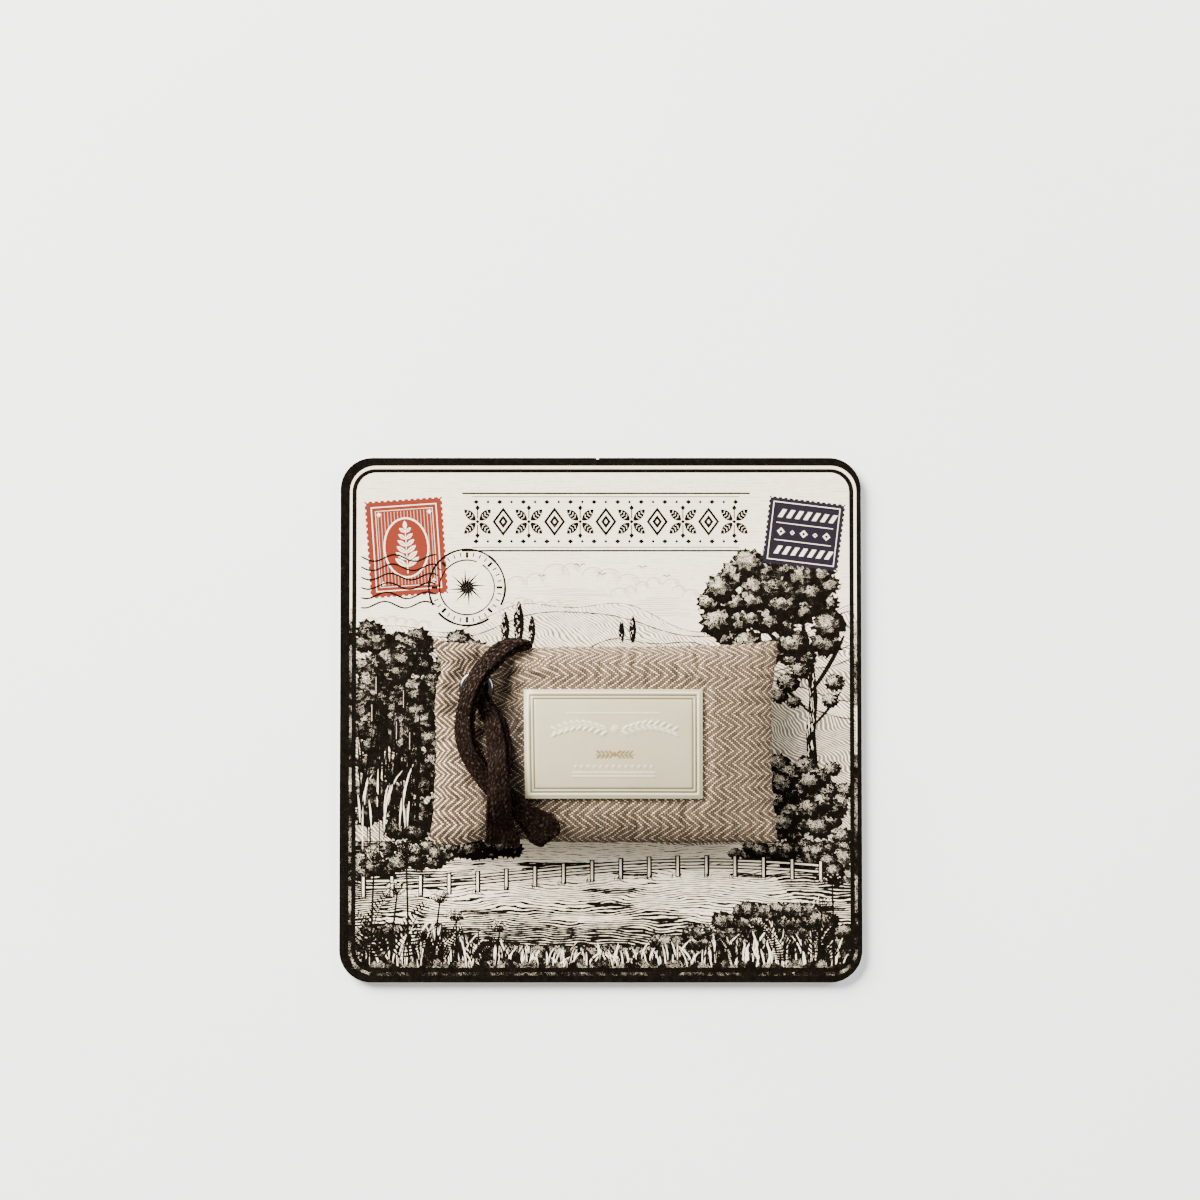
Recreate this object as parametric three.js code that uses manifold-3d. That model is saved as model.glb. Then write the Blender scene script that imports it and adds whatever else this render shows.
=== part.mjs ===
// A scented sachet on its square display card, lying on its back.
// Millimetres. +X runs to the card's right, +Y to the card's top and +Z out of the printed face.
// The origin is the middle of the card's back, on the surface that the card lies on.
import * as THREE from 'three';
import { mergeVertices } from 'three/addons/utils/BufferGeometryUtils.js';
import Module from 'manifold-3d';

const wasm = await Module();
wasm.setup();

// ---- Driving dimensions ----

// Card: grey board between a liner and a printed sheet.
const CARD_W = 150;
const CARD_H = 151;
const CARD_R = 9.2;
const LINER_T = 0.3;
const BOARD_T = 1.5;
const SHEET_T = 0.3;
const NICK_X = -0.9; // small die-cut nick in the top edge
const NICK_W = 0.9;
const NICK_D = 0.45;
const CARD_T = LINER_T + BOARD_T + SHEET_T;

// Foam pads that hold the pillow on the card.
const PAD_W = 18;
const PAD_H = 30;
const PAD_T = 2.9;
const PAD_R = 1.5;
const PAD_Y = -6.6;
const PAD_LEFT_X = -2;
const PAD_RIGHT_X = 28;

// Pillow: two panels that meet at the seam plane.
const SEAM_Z = 10.1;
const SEAM_GAP = 0.15; // half the gap between the two panels
const PANEL_T = 0.8; // cloth with its turned-in allowance
const FRONT_CROWN = 8.4;
const BACK_CROWN = 5.2; // before it goes flat on the pads
const BACK_FLAT = 4.0;
const CX = 1.1; // middle of the pillow
const CY = -6.65;
const HALF_W = 49.3;
const HALF_H = 28.5;

// Eyelet, pressed through both panels.
const EYE_X = -35.5;
const EYE_Y = 8.4;
const EYE_BORE_R = 2.5;
const EYE_BARREL_R = 2.9;
const EYE_FLANGE_R = 5.0;
const EYE_HOLE_R = 3.2; // hole in the cloth
const EYE_FLAT_R = 6.3; // the cloth is pinched flat inside this
const EYE_RISE_R = 17; // and has its full loft again outside this

// Inner pouch and its fill.
const POUCH_T = 0.35;
const LAYER_GAP = 0.1;

// Label and its adhesive film.
const GLUE_T = 0.15;
const LABEL_T = 0.6;
const HAIR = 0.03; // between bonded layers

// Flat braided lace.
const LACE_W = 5.5;
const LACE_T = 1.5;

// ---- Small helpers ----

const clean = (geometry) => {
  const g = geometry.index ? geometry.toNonIndexed() : geometry.clone();
  g.deleteAttribute('normal');
  g.deleteAttribute('uv');
  return mergeVertices(g, 1e-4);
};

const solid = (geometry) => {
  const g = clean(geometry);
  return new wasm.Manifold(
    new wasm.Mesh({
      numProp: 3,
      vertProperties: new Float32Array(g.attributes.position.array),
      triVerts: new Uint32Array(g.index.array),
    }),
  );
};

const geometryOf = (manifold) => {
  const m = manifold.getMesh();
  const g = new THREE.BufferGeometry();
  const p = new Float32Array(m.numVert * 3);
  for (let i = 0; i < m.numVert; i++) {
    for (let k = 0; k < 3; k++) p[3 * i + k] = m.vertProperties[m.numProp * i + k];
  }
  g.setAttribute('position', new THREE.BufferAttribute(p, 3));
  g.setIndex(new THREE.BufferAttribute(new Uint32Array(m.triVerts), 1));
  return g;
};

const material = (color, roughness, metalness = 0) =>
  new THREE.MeshStandardMaterial({ color, roughness, metalness });

const sachet = new THREE.Group();
const add = (name, geometry, mat) => {
  geometry.computeVertexNormals();
  const mesh = new THREE.Mesh(geometry, mat);
  mesh.name = name;
  sachet.add(mesh);
};

const smooth = (a, b, x) => {
  const t = Math.min(1, Math.max(0, (x - a) / (b - a)));
  return t * t * (3 - 2 * t);
};

// ---- Card ----

function roundedOutline(w, h, r, nick) {
  const s = new THREE.Shape();
  const x = w / 2;
  const y = h / 2;
  s.moveTo(-x + r, -y);
  s.lineTo(x - r, -y);
  s.absarc(x - r, -y + r, r, -Math.PI / 2, 0);
  s.lineTo(x, y - r);
  s.absarc(x - r, y - r, r, 0, Math.PI / 2);
  if (nick) {
    s.lineTo(NICK_X + NICK_W / 2, y);
    s.lineTo(NICK_X + NICK_W / 4, y - NICK_D);
    s.lineTo(NICK_X - NICK_W / 4, y - NICK_D);
    s.lineTo(NICK_X - NICK_W / 2, y);
  }
  s.lineTo(-x + r, y);
  s.absarc(-x + r, y - r, r, Math.PI / 2, Math.PI);
  s.lineTo(-x, -y + r);
  s.absarc(-x + r, -y + r, r, Math.PI, Math.PI * 1.5);
  return s;
}

function plate(outline, z0, t, segments) {
  const g = new THREE.ExtrudeGeometry(outline, {
    depth: t,
    bevelEnabled: false,
    curveSegments: segments,
  });
  g.translate(0, 0, z0);
  return clean(g);
}

const cardOutline = roundedOutline(CARD_W, CARD_H, CARD_R, true);
add('card_back_liner', plate(cardOutline, 0, LINER_T, 8), material(0xd9d4c8, 0.85));
add('card_board', plate(cardOutline, LINER_T, BOARD_T, 8), material(0x8f8a80, 0.9));
add(
  'card_front_sheet',
  plate(cardOutline, LINER_T + BOARD_T, SHEET_T, 8),
  material(0xe9e4dc, 0.45),
);

for (const [name, x] of [
  ['foam_pad_left', PAD_LEFT_X],
  ['foam_pad_right', PAD_RIGHT_X],
]) {
  const g = plate(roundedOutline(PAD_W, PAD_H, PAD_R, false), CARD_T, PAD_T, 3);
  g.translate(x, PAD_Y, 0);
  add(name, g, material(0xf2f1ec, 0.8));
}

// ---- Pillow ----

// Routes of the lace over the front and the back, which press a shallow groove in the cloth.
const FRONT_RUN = [
  [-30.5, 4], [-29, -5], [-28.9, -16], [-28.9, -26], [-28.6, -36],
];
const FRONT_ARC = [
  [-22.5, 22], [-29, 19], [-33.5, 13], [-37.6, 5], [-38.4, -4], [-36.6, -11], [-33, -17], [-28.4, -21.8], [-22, -27], [-16, -32],
];
const BACK_RUN = [
  [-28.4, -36], [-26.4, -5], [-23.6, 12], [-22.5, 22],
];

function distanceTo(line, x, y) {
  let best = Infinity;
  for (let i = 0; i + 1 < line.length; i++) {
    const [ax, ay] = line[i];
    const dx = line[i + 1][0] - ax;
    const dy = line[i + 1][1] - ay;
    const t = Math.min(1, Math.max(0, ((x - ax) * dx + (y - ay) * dy) / (dx * dx + dy * dy)));
    best = Math.min(best, Math.hypot(x - ax - t * dx, y - ay - t * dy));
  }
  return best;
}

const bell = (d, width) => Math.exp(-((d / width) ** 2));
const lens = (t) => Math.max(0, 1 - Math.min(1, Math.abs(t)) ** 2.4) ** 0.8;
const loft = (x, y) =>
  lens((x - CX) / HALF_W) *
  lens((y - CY) / HALF_H) *
  smooth(EYE_FLAT_R, EYE_RISE_R, Math.hypot(x - EYE_X, y - EYE_Y));

// Height of the front and the back above the edge of the cloth, at a point of the flat pattern.
const crownFront = (x, y) =>
  Math.max(
    0,
    FRONT_CROWN * loft(x, y) -
      1.2 * bell(distanceTo(FRONT_RUN, x, y), 5) -
      1.2 * bell(distanceTo(FRONT_ARC, x, y), 5),
  );
const crownBack = (x, y) =>
  Math.max(
    0,
    Math.min(BACK_FLAT, BACK_CROWN * loft(x, y)) - 1.9 * bell(distanceTo(BACK_RUN, x, y), 7),
  );

// The four edges pull in between the corners, and once more where the lace goes round them.
function outlinePoint(x, y) {
  const u = (x - CX) / HALF_W;
  const v = (y - CY) / HALF_H;
  const u6 = Math.abs(u) ** 6;
  const v6 = Math.abs(v) ** 6;
  const left = (1.0 * (1 - v * v) + 0.5 * v + 1.6 * bell(y - 14.5, 4)) * u6;
  const right = (-1.6 * (1 - v * v) ** 1.4 + 0.15 * v) * u6;
  const top = (-1.6 * (1 - u * u) - 1.2 * bell(x + 25, 7)) * v6;
  const bottom = (0.4 * (1 - u * u) + 1.0 * bell(x + 28.5, 7)) * v6;
  return [x + (u < 0 ? left : right), y + (v < 0 ? bottom : top)];
}

// Lines of the flat pattern that all layers share, so that their facets lie parallel.
const XS = [
  -48.2, -46, -43, -40, -37, -34, -31, -28, -25, -21.5, -12, -3, 6, 15, 22, 29.1, 36, 42, 47, 50.4,
];
const YS = [-35.15, -33, -29, -23.1, -17, -11, -5, 1, 5, 8.1, 12, 16, 19.5, 21.85];

// A curved sheet over part of the pattern. Both faces split their cells along the same diagonals, so that
// sheets over the same cells lie parallel.
function sheet([i0, i1], [j0, j1], low, high) {
  const nx = i1 - i0;
  const ny = j1 - j0;
  const face = (height) => {
    const g = new THREE.PlaneGeometry(nx, ny, nx, ny);
    const p = g.attributes.position;
    for (let k = 0; k < p.count; k++) {
      const x = XS[i0 + Math.round(p.getX(k) + nx / 2)];
      const y = YS[j0 + Math.round(p.getY(k) + ny / 2)];
      p.setXYZ(k, ...outlinePoint(x, y), height(x, y));
    }
    return g;
  };
  const top = face(high);
  const bottom = face(low);
  const count = top.attributes.position.count;
  const index = [...top.index.array];
  const under = bottom.index.array;
  for (let k = 0; k < under.length; k += 3) {
    index.push(under[k] + count, under[k + 2] + count, under[k + 1] + count);
  }
  // The rim, run clockwise as seen from above, which is the plane's rows from top to bottom.
  const rim = [];
  for (let i = 0; i < nx; i++) rim.push(i);
  for (let j = 0; j < ny; j++) rim.push(j * (nx + 1) + nx);
  for (let i = nx; i > 0; i--) rim.push(ny * (nx + 1) + i);
  for (let j = ny; j > 0; j--) rim.push(j * (nx + 1));
  rim.forEach((a, k) => {
    const b = rim[(k + 1) % rim.length];
    index.push(a, b, b + count, a, b + count, a + count);
  });
  const g = new THREE.BufferGeometry();
  g.setAttribute(
    'position',
    new THREE.Float32BufferAttribute(
      [...top.attributes.position.array, ...bottom.attributes.position.array],
      3,
    ),
  );
  g.setIndex(index);
  return g;
}

const at = (list, value) => list.indexOf(value);
const ALL_X = [0, XS.length - 1];
const ALL_Y = [0, YS.length - 1];

const frontInner = (x, y) => SEAM_Z + SEAM_GAP + crownFront(x, y);
const frontOuter = (x, y) => frontInner(x, y) + PANEL_T;
const backInner = (x, y) => SEAM_Z - SEAM_GAP - crownBack(x, y);
const backOuter = (x, y) => backInner(x, y) - PANEL_T;

const post = (r, z0, z1, n = 20) => {
  const g = new THREE.CylinderGeometry(r, r, z1 - z0, n);
  g.rotateX(Math.PI / 2);
  g.translate(EYE_X, EYE_Y, (z0 + z1) / 2);
  return solid(g);
};
const eyeHole = post(EYE_HOLE_R, 0, 40);

const clothMaterial = () => material(0xb9a48c, 0.85);
add(
  'pillow_front_panel',
  geometryOf(solid(sheet(ALL_X, ALL_Y, frontInner, frontOuter)).subtract(eyeHole)),
  clothMaterial(),
);
add(
  'pillow_back_panel',
  geometryOf(solid(sheet(ALL_X, ALL_Y, backOuter, backInner)).subtract(eyeHole)),
  clothMaterial(),
);

// The pouch holds the fill to the right of the eyelet. Its two sheets meet at their rim.
const POUCH_X = [at(XS, -21.5), at(XS, 47)];
const POUCH_Y = [at(YS, -29), at(YS, 16)];
const room = (crown) => (x, y) => Math.max(0, crown(x, y) - POUCH_T - 2 * LAYER_GAP);
const roomFront = room(crownFront);
const roomBack = room(crownBack);
const POUCH_GAP = SEAM_GAP / 2; // half the gap between the pouch's two sheets
add(
  'inner_pouch_front',
  sheet(
    POUCH_X,
    POUCH_Y,
    (x, y) => SEAM_Z + POUCH_GAP + roomFront(x, y),
    (x, y) => SEAM_Z + POUCH_GAP + roomFront(x, y) + POUCH_T,
  ),
  material(0xf4f3ef, 0.9),
);
add(
  'inner_pouch_back',
  sheet(
    POUCH_X,
    POUCH_Y,
    (x, y) => SEAM_Z - POUCH_GAP - roomBack(x, y) - POUCH_T,
    (x, y) => SEAM_Z - POUCH_GAP - roomBack(x, y),
  ),
  material(0xf4f3ef, 0.9),
);
add(
  'scented_fill',
  sheet(
    [POUCH_X[0] + 1, POUCH_X[1] - 1],
    [POUCH_Y[0] + 1, POUCH_Y[1] - 1],
    (x, y) => SEAM_Z - roomBack(x, y) + 0.05,
    (x, y) => SEAM_Z + roomFront(x, y) - 0.05,
  ),
  material(0xd8c9a8, 0.9),
);

// ---- Label ----

const LABEL_X = [at(XS, -21.5), at(XS, 29.1)];
const LABEL_Y = [at(YS, -23.1), at(YS, 8.1)];
const over = (h) => (x, y) => frontOuter(x, y) + h;
const LABEL_LOW = GLUE_T + 2 * HAIR;
add('label_adhesive', sheet(LABEL_X, LABEL_Y, over(HAIR), over(HAIR + GLUE_T)), material(0xe8e2cf, 0.5));
add('label', sheet(LABEL_X, LABEL_Y, over(LABEL_LOW), over(LABEL_LOW + LABEL_T)), material(0xd8d5c4, 0.5));

// ---- Eyelet and washer ----

const EYE_TOP = SEAM_Z + SEAM_GAP + PANEL_T; // face of the front panel at the eyelet
const EYE_BOTTOM = SEAM_Z - SEAM_GAP - PANEL_T;
const GAP = 0.3;
const lathe = (points, n = 24) => {
  const g = new THREE.LatheGeometry(
    points.map(([r, z]) => new THREE.Vector2(r, z)),
    n,
  );
  g.rotateX(Math.PI / 2); // the lathe's axis becomes +Z
  g.translate(EYE_X, EYE_Y, 0);
  return clean(g);
};
// Profiles run round once, so that the faces point out.
const eyeletProfile = [
  [EYE_BORE_R, EYE_BOTTOM - GAP - 0.9],
  [EYE_BORE_R + 0.9, EYE_BOTTOM - GAP - 1.2],
  [EYE_BORE_R + 1.5, EYE_BOTTOM - GAP - 0.9],
  [EYE_BORE_R + 1.3, EYE_BOTTOM - GAP - 0.7],
  [EYE_BARREL_R, EYE_BOTTOM - GAP - 0.7],
  [EYE_BARREL_R, EYE_TOP + GAP],
  [EYE_FLANGE_R, EYE_TOP + GAP],
  [EYE_FLANGE_R, EYE_TOP + GAP + 0.25],
  [EYE_FLANGE_R - 0.6, EYE_TOP + GAP + 0.75],
  [EYE_BORE_R + 1.0, EYE_TOP + GAP + 0.95],
  [EYE_BORE_R + 0.3, EYE_TOP + GAP + 0.75],
  [EYE_BORE_R, EYE_TOP + GAP + 0.2],
];
const washerProfile = [
  [EYE_BARREL_R + 0.2, EYE_BOTTOM - GAP - 0.5],
  [EYE_FLANGE_R, EYE_BOTTOM - GAP - 0.4],
  [EYE_FLANGE_R, EYE_BOTTOM - GAP],
  [EYE_BARREL_R + 0.2, EYE_BOTTOM - GAP],
];
const closed = (profile) => [...profile, profile[0]];
const facingOut = (g) => {
  // A profile taken the other way round gives faces that point in, so each triangle is turned.
  if (solid(g).volume() > 0) return g;
  const i = g.index.array;
  for (let k = 0; k < i.length; k += 3) [i[k + 1], i[k + 2]] = [i[k + 2], i[k + 1]];
  return g;
};
add('eyelet', facingOut(lathe(closed(eyeletProfile))), material(0xd6d7d6, 0.25, 1));
add('eyelet_washer', facingOut(lathe(closed(washerProfile))), material(0xc9cac9, 0.3, 1));

// ---- Lace ----

// A station is a point of the centre line, the way the lace's flat face looks, and its width and thickness.
const slopeOf = (crown, x, y) => [
  (crown(x + 0.5, y) - crown(x - 0.5, y)) / 1,
  (crown(x, y + 0.5) - crown(x, y - 0.5)) / 1,
];
function onFront(x, y, lift, w = LACE_W, tilt = [0, 0]) {
  const [sx, sy] = slopeOf(crownFront, x, y);
  const n = new THREE.Vector3(-sx + tilt[0], -sy + tilt[1], 1).normalize();
  return { p: new THREE.Vector3(x, y, frontOuter(x, y) + lift), n, w };
}
function onBack(x, y, lift, w = LACE_W) {
  const [sx, sy] = slopeOf(crownBack, x, y);
  const n = new THREE.Vector3(-sx, -sy, -1).normalize();
  return { p: new THREE.Vector3(x, y, backOuter(x, y) - lift), n, w };
}
function inSpace(x, y, z, nx, ny, nz, w = LACE_W) {
  return { p: new THREE.Vector3(x, y, z), n: new THREE.Vector3(nx, ny, nz).normalize(), w };
}

// Uniform Catmull-Rom through rows of numbers.
function spline(rows, t) {
  const n = rows.length - 1;
  const i = Math.min(n - 1, Math.floor(t * n));
  const f = t * n - i;
  const row = (k) => rows[Math.min(n, Math.max(0, k))];
  const [a, b, c, d] = [row(i - 1), row(i), row(i + 1), row(i + 2)];
  return b.map(
    (_, k) =>
      0.5 *
      (2 * b[k] +
        (c[k] - a[k]) * f +
        (2 * a[k] - 5 * b[k] + 4 * c[k] - d[k]) * f * f +
        (3 * b[k] - a[k] - 3 * c[k] + d[k]) * f * f * f),
  );
}

// A straight extrusion of the lace's oval section, laid along the stations.
function lace(stations, steps) {
  const rows = stations.map(({ p, n, w }) => [p.x, p.y, p.z, n.x, n.y, n.z, w]);
  const oval = new THREE.Shape(
    [0, 1, 2, 3, 4, 5, 6, 7].map((k) => {
      const a = ((k + 0.5) / 8) * Math.PI * 2;
      const c = Math.cos(a);
      const s = Math.sin(a);
      const flat = (v) => Math.sign(v) * Math.abs(v) ** 0.7;
      return new THREE.Vector2(flat(c) * 0.53, flat(s) * 0.57);
    }),
  );
  const g = new THREE.ExtrudeGeometry(oval, { depth: 1, steps, bevelEnabled: false });
  const pos = g.attributes.position;
  const point = (t) => new THREE.Vector3(...spline(rows, t).slice(0, 3));
  for (let k = 0; k < pos.count; k++) {
    const t = Math.min(1, Math.max(0, pos.getZ(k)));
    const row = spline(rows, t);
    const c = new THREE.Vector3(row[0], row[1], row[2]);
    const along = point(Math.min(1, t + 0.002)).sub(point(Math.max(0, t - 0.002))).normalize();
    const n = new THREE.Vector3(row[3], row[4], row[5]);
    n.addScaledVector(along, -n.dot(along)).normalize();
    const side = new THREE.Vector3().crossVectors(n, along);
    c.addScaledVector(side, pos.getX(k) * row[6]).addScaledVector(n, pos.getY(k) * LACE_T);
    pos.setXYZ(k, c.x, c.y, c.z);
  }
  return facingOut(clean(g));
}

// Each row of the pair's route is the lower strand's station, then how far the upper strand lies to its side and
// over it, or the upper strand's own station.
const ON = LACE_T / 2 + 0.3; // lift of a lace that lies on the cloth
const HOLE_N = [-0.507, 0.862, 0.02]; // the lace's face inside the eyelet
const route = [
  // out of the eyelet, turning flat on its way down
  [inSpace(EYE_X + 0.5, EYE_Y - 0.8, SEAM_Z - 1.9, ...HOLE_N, 3.0), 0, 1.85],
  [inSpace(EYE_X + 0.5, EYE_Y - 0.8, SEAM_Z + 1.6, ...HOLE_N, 3.0), 0, 1.85],
  [inSpace(EYE_X + 1.4, EYE_Y - 2.0, SEAM_Z + 3.4, -0.6, 0.5, 0.62, 3.6), 0, 2.05],
  [inSpace(EYE_X + 3.0, EYE_Y - 4.4, SEAM_Z + 4.2, -0.75, 0.1, 0.66, 4.4), 0, 2.0],
  [onFront(-30.6, 0.6, ON + 1.8, LACE_W, [-0.75, 0]), 0, 1.95],
  [onFront(-29.2, -3.6, ON + 1.0, LACE_W, [-0.3, 0]), -0.4, 1.85],
  [onFront(-28.5, -8.0, ON + 0.1), -1.0, 1.85],
  // in a hump over the tail's two strands
  [onFront(-28.5, -11.4, ON + 1.9), -0.9, 1.85],
  [onFront(-28.8, -14.6, ON + 4.1), -0.4, 1.85],
  [onFront(-29.2, -18.4, ON + 4.8), 0.5, 1.85],
  [onFront(-29.6, -22.4, ON + 5.3), 1.2, 1.85],
  [onFront(-29.8, -26.4, ON + 4.3), 1.7, 1.85],
  [onFront(-29.9, -30.0, ON + 1.4), 2.6, 1.85],
  // round the lower edge, side by side from here
  [inSpace(-30.2, -33.9, SEAM_Z + 3.1, 0, -0.75, 0.66, 5.0), 4.6, 1.85],
  [inSpace(-30.6, -35.4, SEAM_Z + 0.2, 0, -1, 0, 4.8), 5.2, 0.5],
  [inSpace(-30.9, -34.3, SEAM_Z - 2.8, 0, -0.72, -0.7, 5.0), 5.4, 0],
  // up the back
  [onBack(-31.2, -30.6, ON + 0.3), onBack(-25.4, -30.6, ON + 0.4)],
  [onBack(-30.8, -24.0, ON + 0.1), onBack(-25.0, -24.0, ON + 0.1)],
  [onBack(-30.2, -15.0, ON + 0.2), onBack(-24.4, -15.0, ON + 0.3)],
  [onBack(-29.4, -5.0, ON + 0.2), onBack(-23.65, -5.0, ON + 0.3)],
  [onBack(-28.2, 4.0, ON + 0.5), onBack(-22.6, 3.6, ON + 0.4)],
  [onBack(-27.0, 11.0, ON + 0.4), onBack(-21.4, 10.4, ON + 0.5)],
  [onBack(-26.4, 15.4, ON + 0.3), onBack(-21.2, 14.6, ON + 1.6)],
  // over the upper edge, one on the other
  [inSpace(-25.0, 19.8, SEAM_Z - 2.5, 0.1, 0.85, -0.5), 2.6, 2.0],
  [inSpace(-24.4, 20.8, SEAM_Z, 0.05, 1, 0), 0.6, 1.95],
  [inSpace(-25.6, 19.9, SEAM_Z + 2.8, -0.05, 0.8, 0.6), 0, 1.85],
  // down the arc, leaning outwards, over the eyelet
  [onFront(-28.6, 17.9, ON + 0.95, LACE_W, [-0.2, 0.35]), 0, 1.85],
  [onFront(-31.4, 15.2, ON + 1.9, LACE_W, [-0.4, 0.35]), 0, 1.95],
  [onFront(-33.9, 11.6, ON + 3.9, LACE_W, [-0.7, 0.35]), 0, 1.95],
  [onFront(-36.4, 6.6, ON + 5.3, LACE_W, [-0.8, 0.25]), 0, 1.85],
  [onFront(-37.9, 0.6, ON + 3.1, LACE_W, [-0.75, 0.1]), 0, 1.85],
  [onFront(-38.2, -4.6, ON + 1.7, LACE_W, [-0.65, -0.1]), 0, 1.85],
  [onFront(-37.0, -9.6, ON + 0.9, LACE_W, [-0.45, -0.15]), 0, 1.85],
  [onFront(-34.9, -14.0, ON + 0.5, LACE_W, [-0.2, -0.1]), 0, 1.85],
  // under the first run and out to the cut ends
  [onFront(-32.5, -18.2, ON + 0.5), 0.2, 1.85],
  [onFront(-30.0, -20.6, ON + 0.8), 0.8, 1.85],
  [onFront(-27.8, -22.8, ON + 0.7), 1.3, 1.85],
  [onFront(-24.6, -25.8, ON + 0.4), 1.7, 1.85],
  [onFront(-21.6, -28.4, ON + 0.2), 1.8, 1.85],
  [onFront(-18.3, -31.3, ON + 0.4), 1.9, 1.85],
  [inSpace(-15.1, -35.1, SEAM_Z + 3.4, 0.1, -0.45, 0.9), 1.9, 1.85],
];

const lowerStrand = route.map(([station]) => station);
const upperStrand = route.map(([{ p, n, w }, aside, over], i) => {
  if (aside.p) return aside;
  const before = lowerStrand[Math.max(0, i - 1)].p;
  const after = lowerStrand[Math.min(route.length - 1, i + 1)].p;
  const along = after.clone().sub(before).normalize();
  const up = n.clone().addScaledVector(along, -n.dot(along)).normalize();
  const side = new THREE.Vector3().crossVectors(up, along);
  return { p: p.clone().addScaledVector(side, aside).addScaledVector(up, over), n, w };
});

// The bight that joins the two strands behind the eyelet, and holds the run up the back.
const bight = [
  inSpace(-35.95, 9.2, SEAM_Z - 2.2, ...HOLE_N, 3.0),
  inSpace(-35.95, 9.25, SEAM_Z - 2.9, ...HOLE_N, 3.0),
  inSpace(-35.4, 9.9, SEAM_Z - 3.9, -0.6, 0.7, 0.5, 3.2),
  inSpace(-33.0, 11.4, SEAM_Z - 4.8, -0.4, 0.3, 0.85, 4.0),
  inSpace(-29.0, 12.4, SEAM_Z - 5.8, -0.25, 0.05, 0.95, 4.6),
  inSpace(-24.0, 12.0, SEAM_Z - 6.7, -0.1, 0, 1, 4.8),
  inSpace(-19.6, 10.0, SEAM_Z - 6.9, 0, 0, 1, 4.8),
  inSpace(-17.9, 6.8, SEAM_Z - 6.9, 0, 0, 1, 4.8),
  inSpace(-19.6, 3.6, SEAM_Z - 6.9, 0, 0, 1, 4.8),
  inSpace(-24.0, 2.1, SEAM_Z - 6.7, -0.1, 0, 1, 4.8),
  inSpace(-29.0, 2.6, SEAM_Z - 5.8, -0.25, -0.05, 0.95, 4.6),
  inSpace(-32.6, 4.6, SEAM_Z - 4.8, -0.4, 0.1, 0.9, 4.0),
  inSpace(-34.5, 6.7, SEAM_Z - 3.9, -0.5, 0.6, 0.6, 3.2),
  inSpace(-35.0, 7.55, SEAM_Z - 2.9, ...HOLE_N, 3.0),
  inSpace(-35.0, 7.6, SEAM_Z - 2.2, ...HOLE_N, 3.0),
];

const laceMaterial = () => material(0x3c2a24, 0.6);
add('lace_strand_upper', lace(upperStrand, 76), laceMaterial());
add('lace_strand_lower', lace(lowerStrand, 76), laceMaterial());
add('lace_bight', lace(bight, 24), laceMaterial());

export default sachet;
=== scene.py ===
import math

import bpy
import numpy as np
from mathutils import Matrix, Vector
from mathutils.geometry import delaunay_2d_cdt


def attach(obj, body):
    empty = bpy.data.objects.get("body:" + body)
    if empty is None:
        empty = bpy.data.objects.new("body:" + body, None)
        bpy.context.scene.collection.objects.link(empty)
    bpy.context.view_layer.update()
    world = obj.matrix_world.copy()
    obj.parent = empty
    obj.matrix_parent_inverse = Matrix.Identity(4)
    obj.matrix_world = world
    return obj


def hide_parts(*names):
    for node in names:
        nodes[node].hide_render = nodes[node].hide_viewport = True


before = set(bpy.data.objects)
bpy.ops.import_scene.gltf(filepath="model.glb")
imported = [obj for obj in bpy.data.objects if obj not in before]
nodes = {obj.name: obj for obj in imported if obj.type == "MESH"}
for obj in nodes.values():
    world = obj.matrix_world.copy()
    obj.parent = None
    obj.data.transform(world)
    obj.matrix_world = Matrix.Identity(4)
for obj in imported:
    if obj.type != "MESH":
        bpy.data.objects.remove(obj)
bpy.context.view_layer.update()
MM = 0.001

# ---------------------------------------------------------------- camera

TARGET = Vector((-0.2, 34.36, 2.1)) * MM
DISTANCE = 1550 * MM
TILT = math.radians(4.18)
cam = bpy.data.cameras.new("camera")
cam.sensor_width = 36
cam.lens = 161.5
cam.clip_start, cam.clip_end = 0.05, 20
camera = bpy.data.objects.new("camera", cam)
bpy.context.scene.collection.objects.link(camera)
camera.location = TARGET + Vector((0, -math.sin(TILT), math.cos(TILT))) * DISTANCE
camera.rotation_euler = (TILT, 0, 0)
bpy.context.scene.camera = camera

# ---------------------------------------------------------------- numbers shared with the frame

CARD_W, CARD_H, CARD_R, CARD_T = 150.0, 151.0, 9.2, 2.1
NICK_X, NICK_W, NICK_D = -0.9, 0.9, 0.45
SEAM_Z, PANEL = 10.1, 0.95
CX, CY, HALF_W, HALF_H = 1.1, -6.65, 49.3, 28.5
EYE_X, EYE_Y = -35.5, 8.4
EYE_BORE_R, EYE_BARREL_R, EYE_FLANGE_R, EYE_HOLE_R = 2.5, 2.9, 5.0, 3.2
LACE_W, LACE_T = 5.5, 1.5
LABEL = (-21.5, 29.1, -23.1, 8.1)
LABEL_LOW, LABEL_T = 0.21, 0.6

FRONT_RUN = [[-30.5, 4], [-29, -5], [-28.9, -16], [-28.9, -26], [-28.6, -36]]
FRONT_ARC = [
    [-22.5, 22], [-29, 19], [-33.5, 13], [-37.6, 5], [-38.4, -4],
    [-36.6, -11], [-33, -17], [-28.4, -21.8], [-22, -27], [-16, -32],
]
BACK_RUN = [[-28.4, -36], [-26.4, -5], [-23.6, 12], [-22.5, 22]]


def smooth(a, b, x):
    t = np.clip((np.asarray(x, float) - a) / (b - a), 0, 1)
    return t * t * (3 - 2 * t)


def bell(d, width):
    return np.exp(-((np.asarray(d, float) / width) ** 2))


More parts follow.
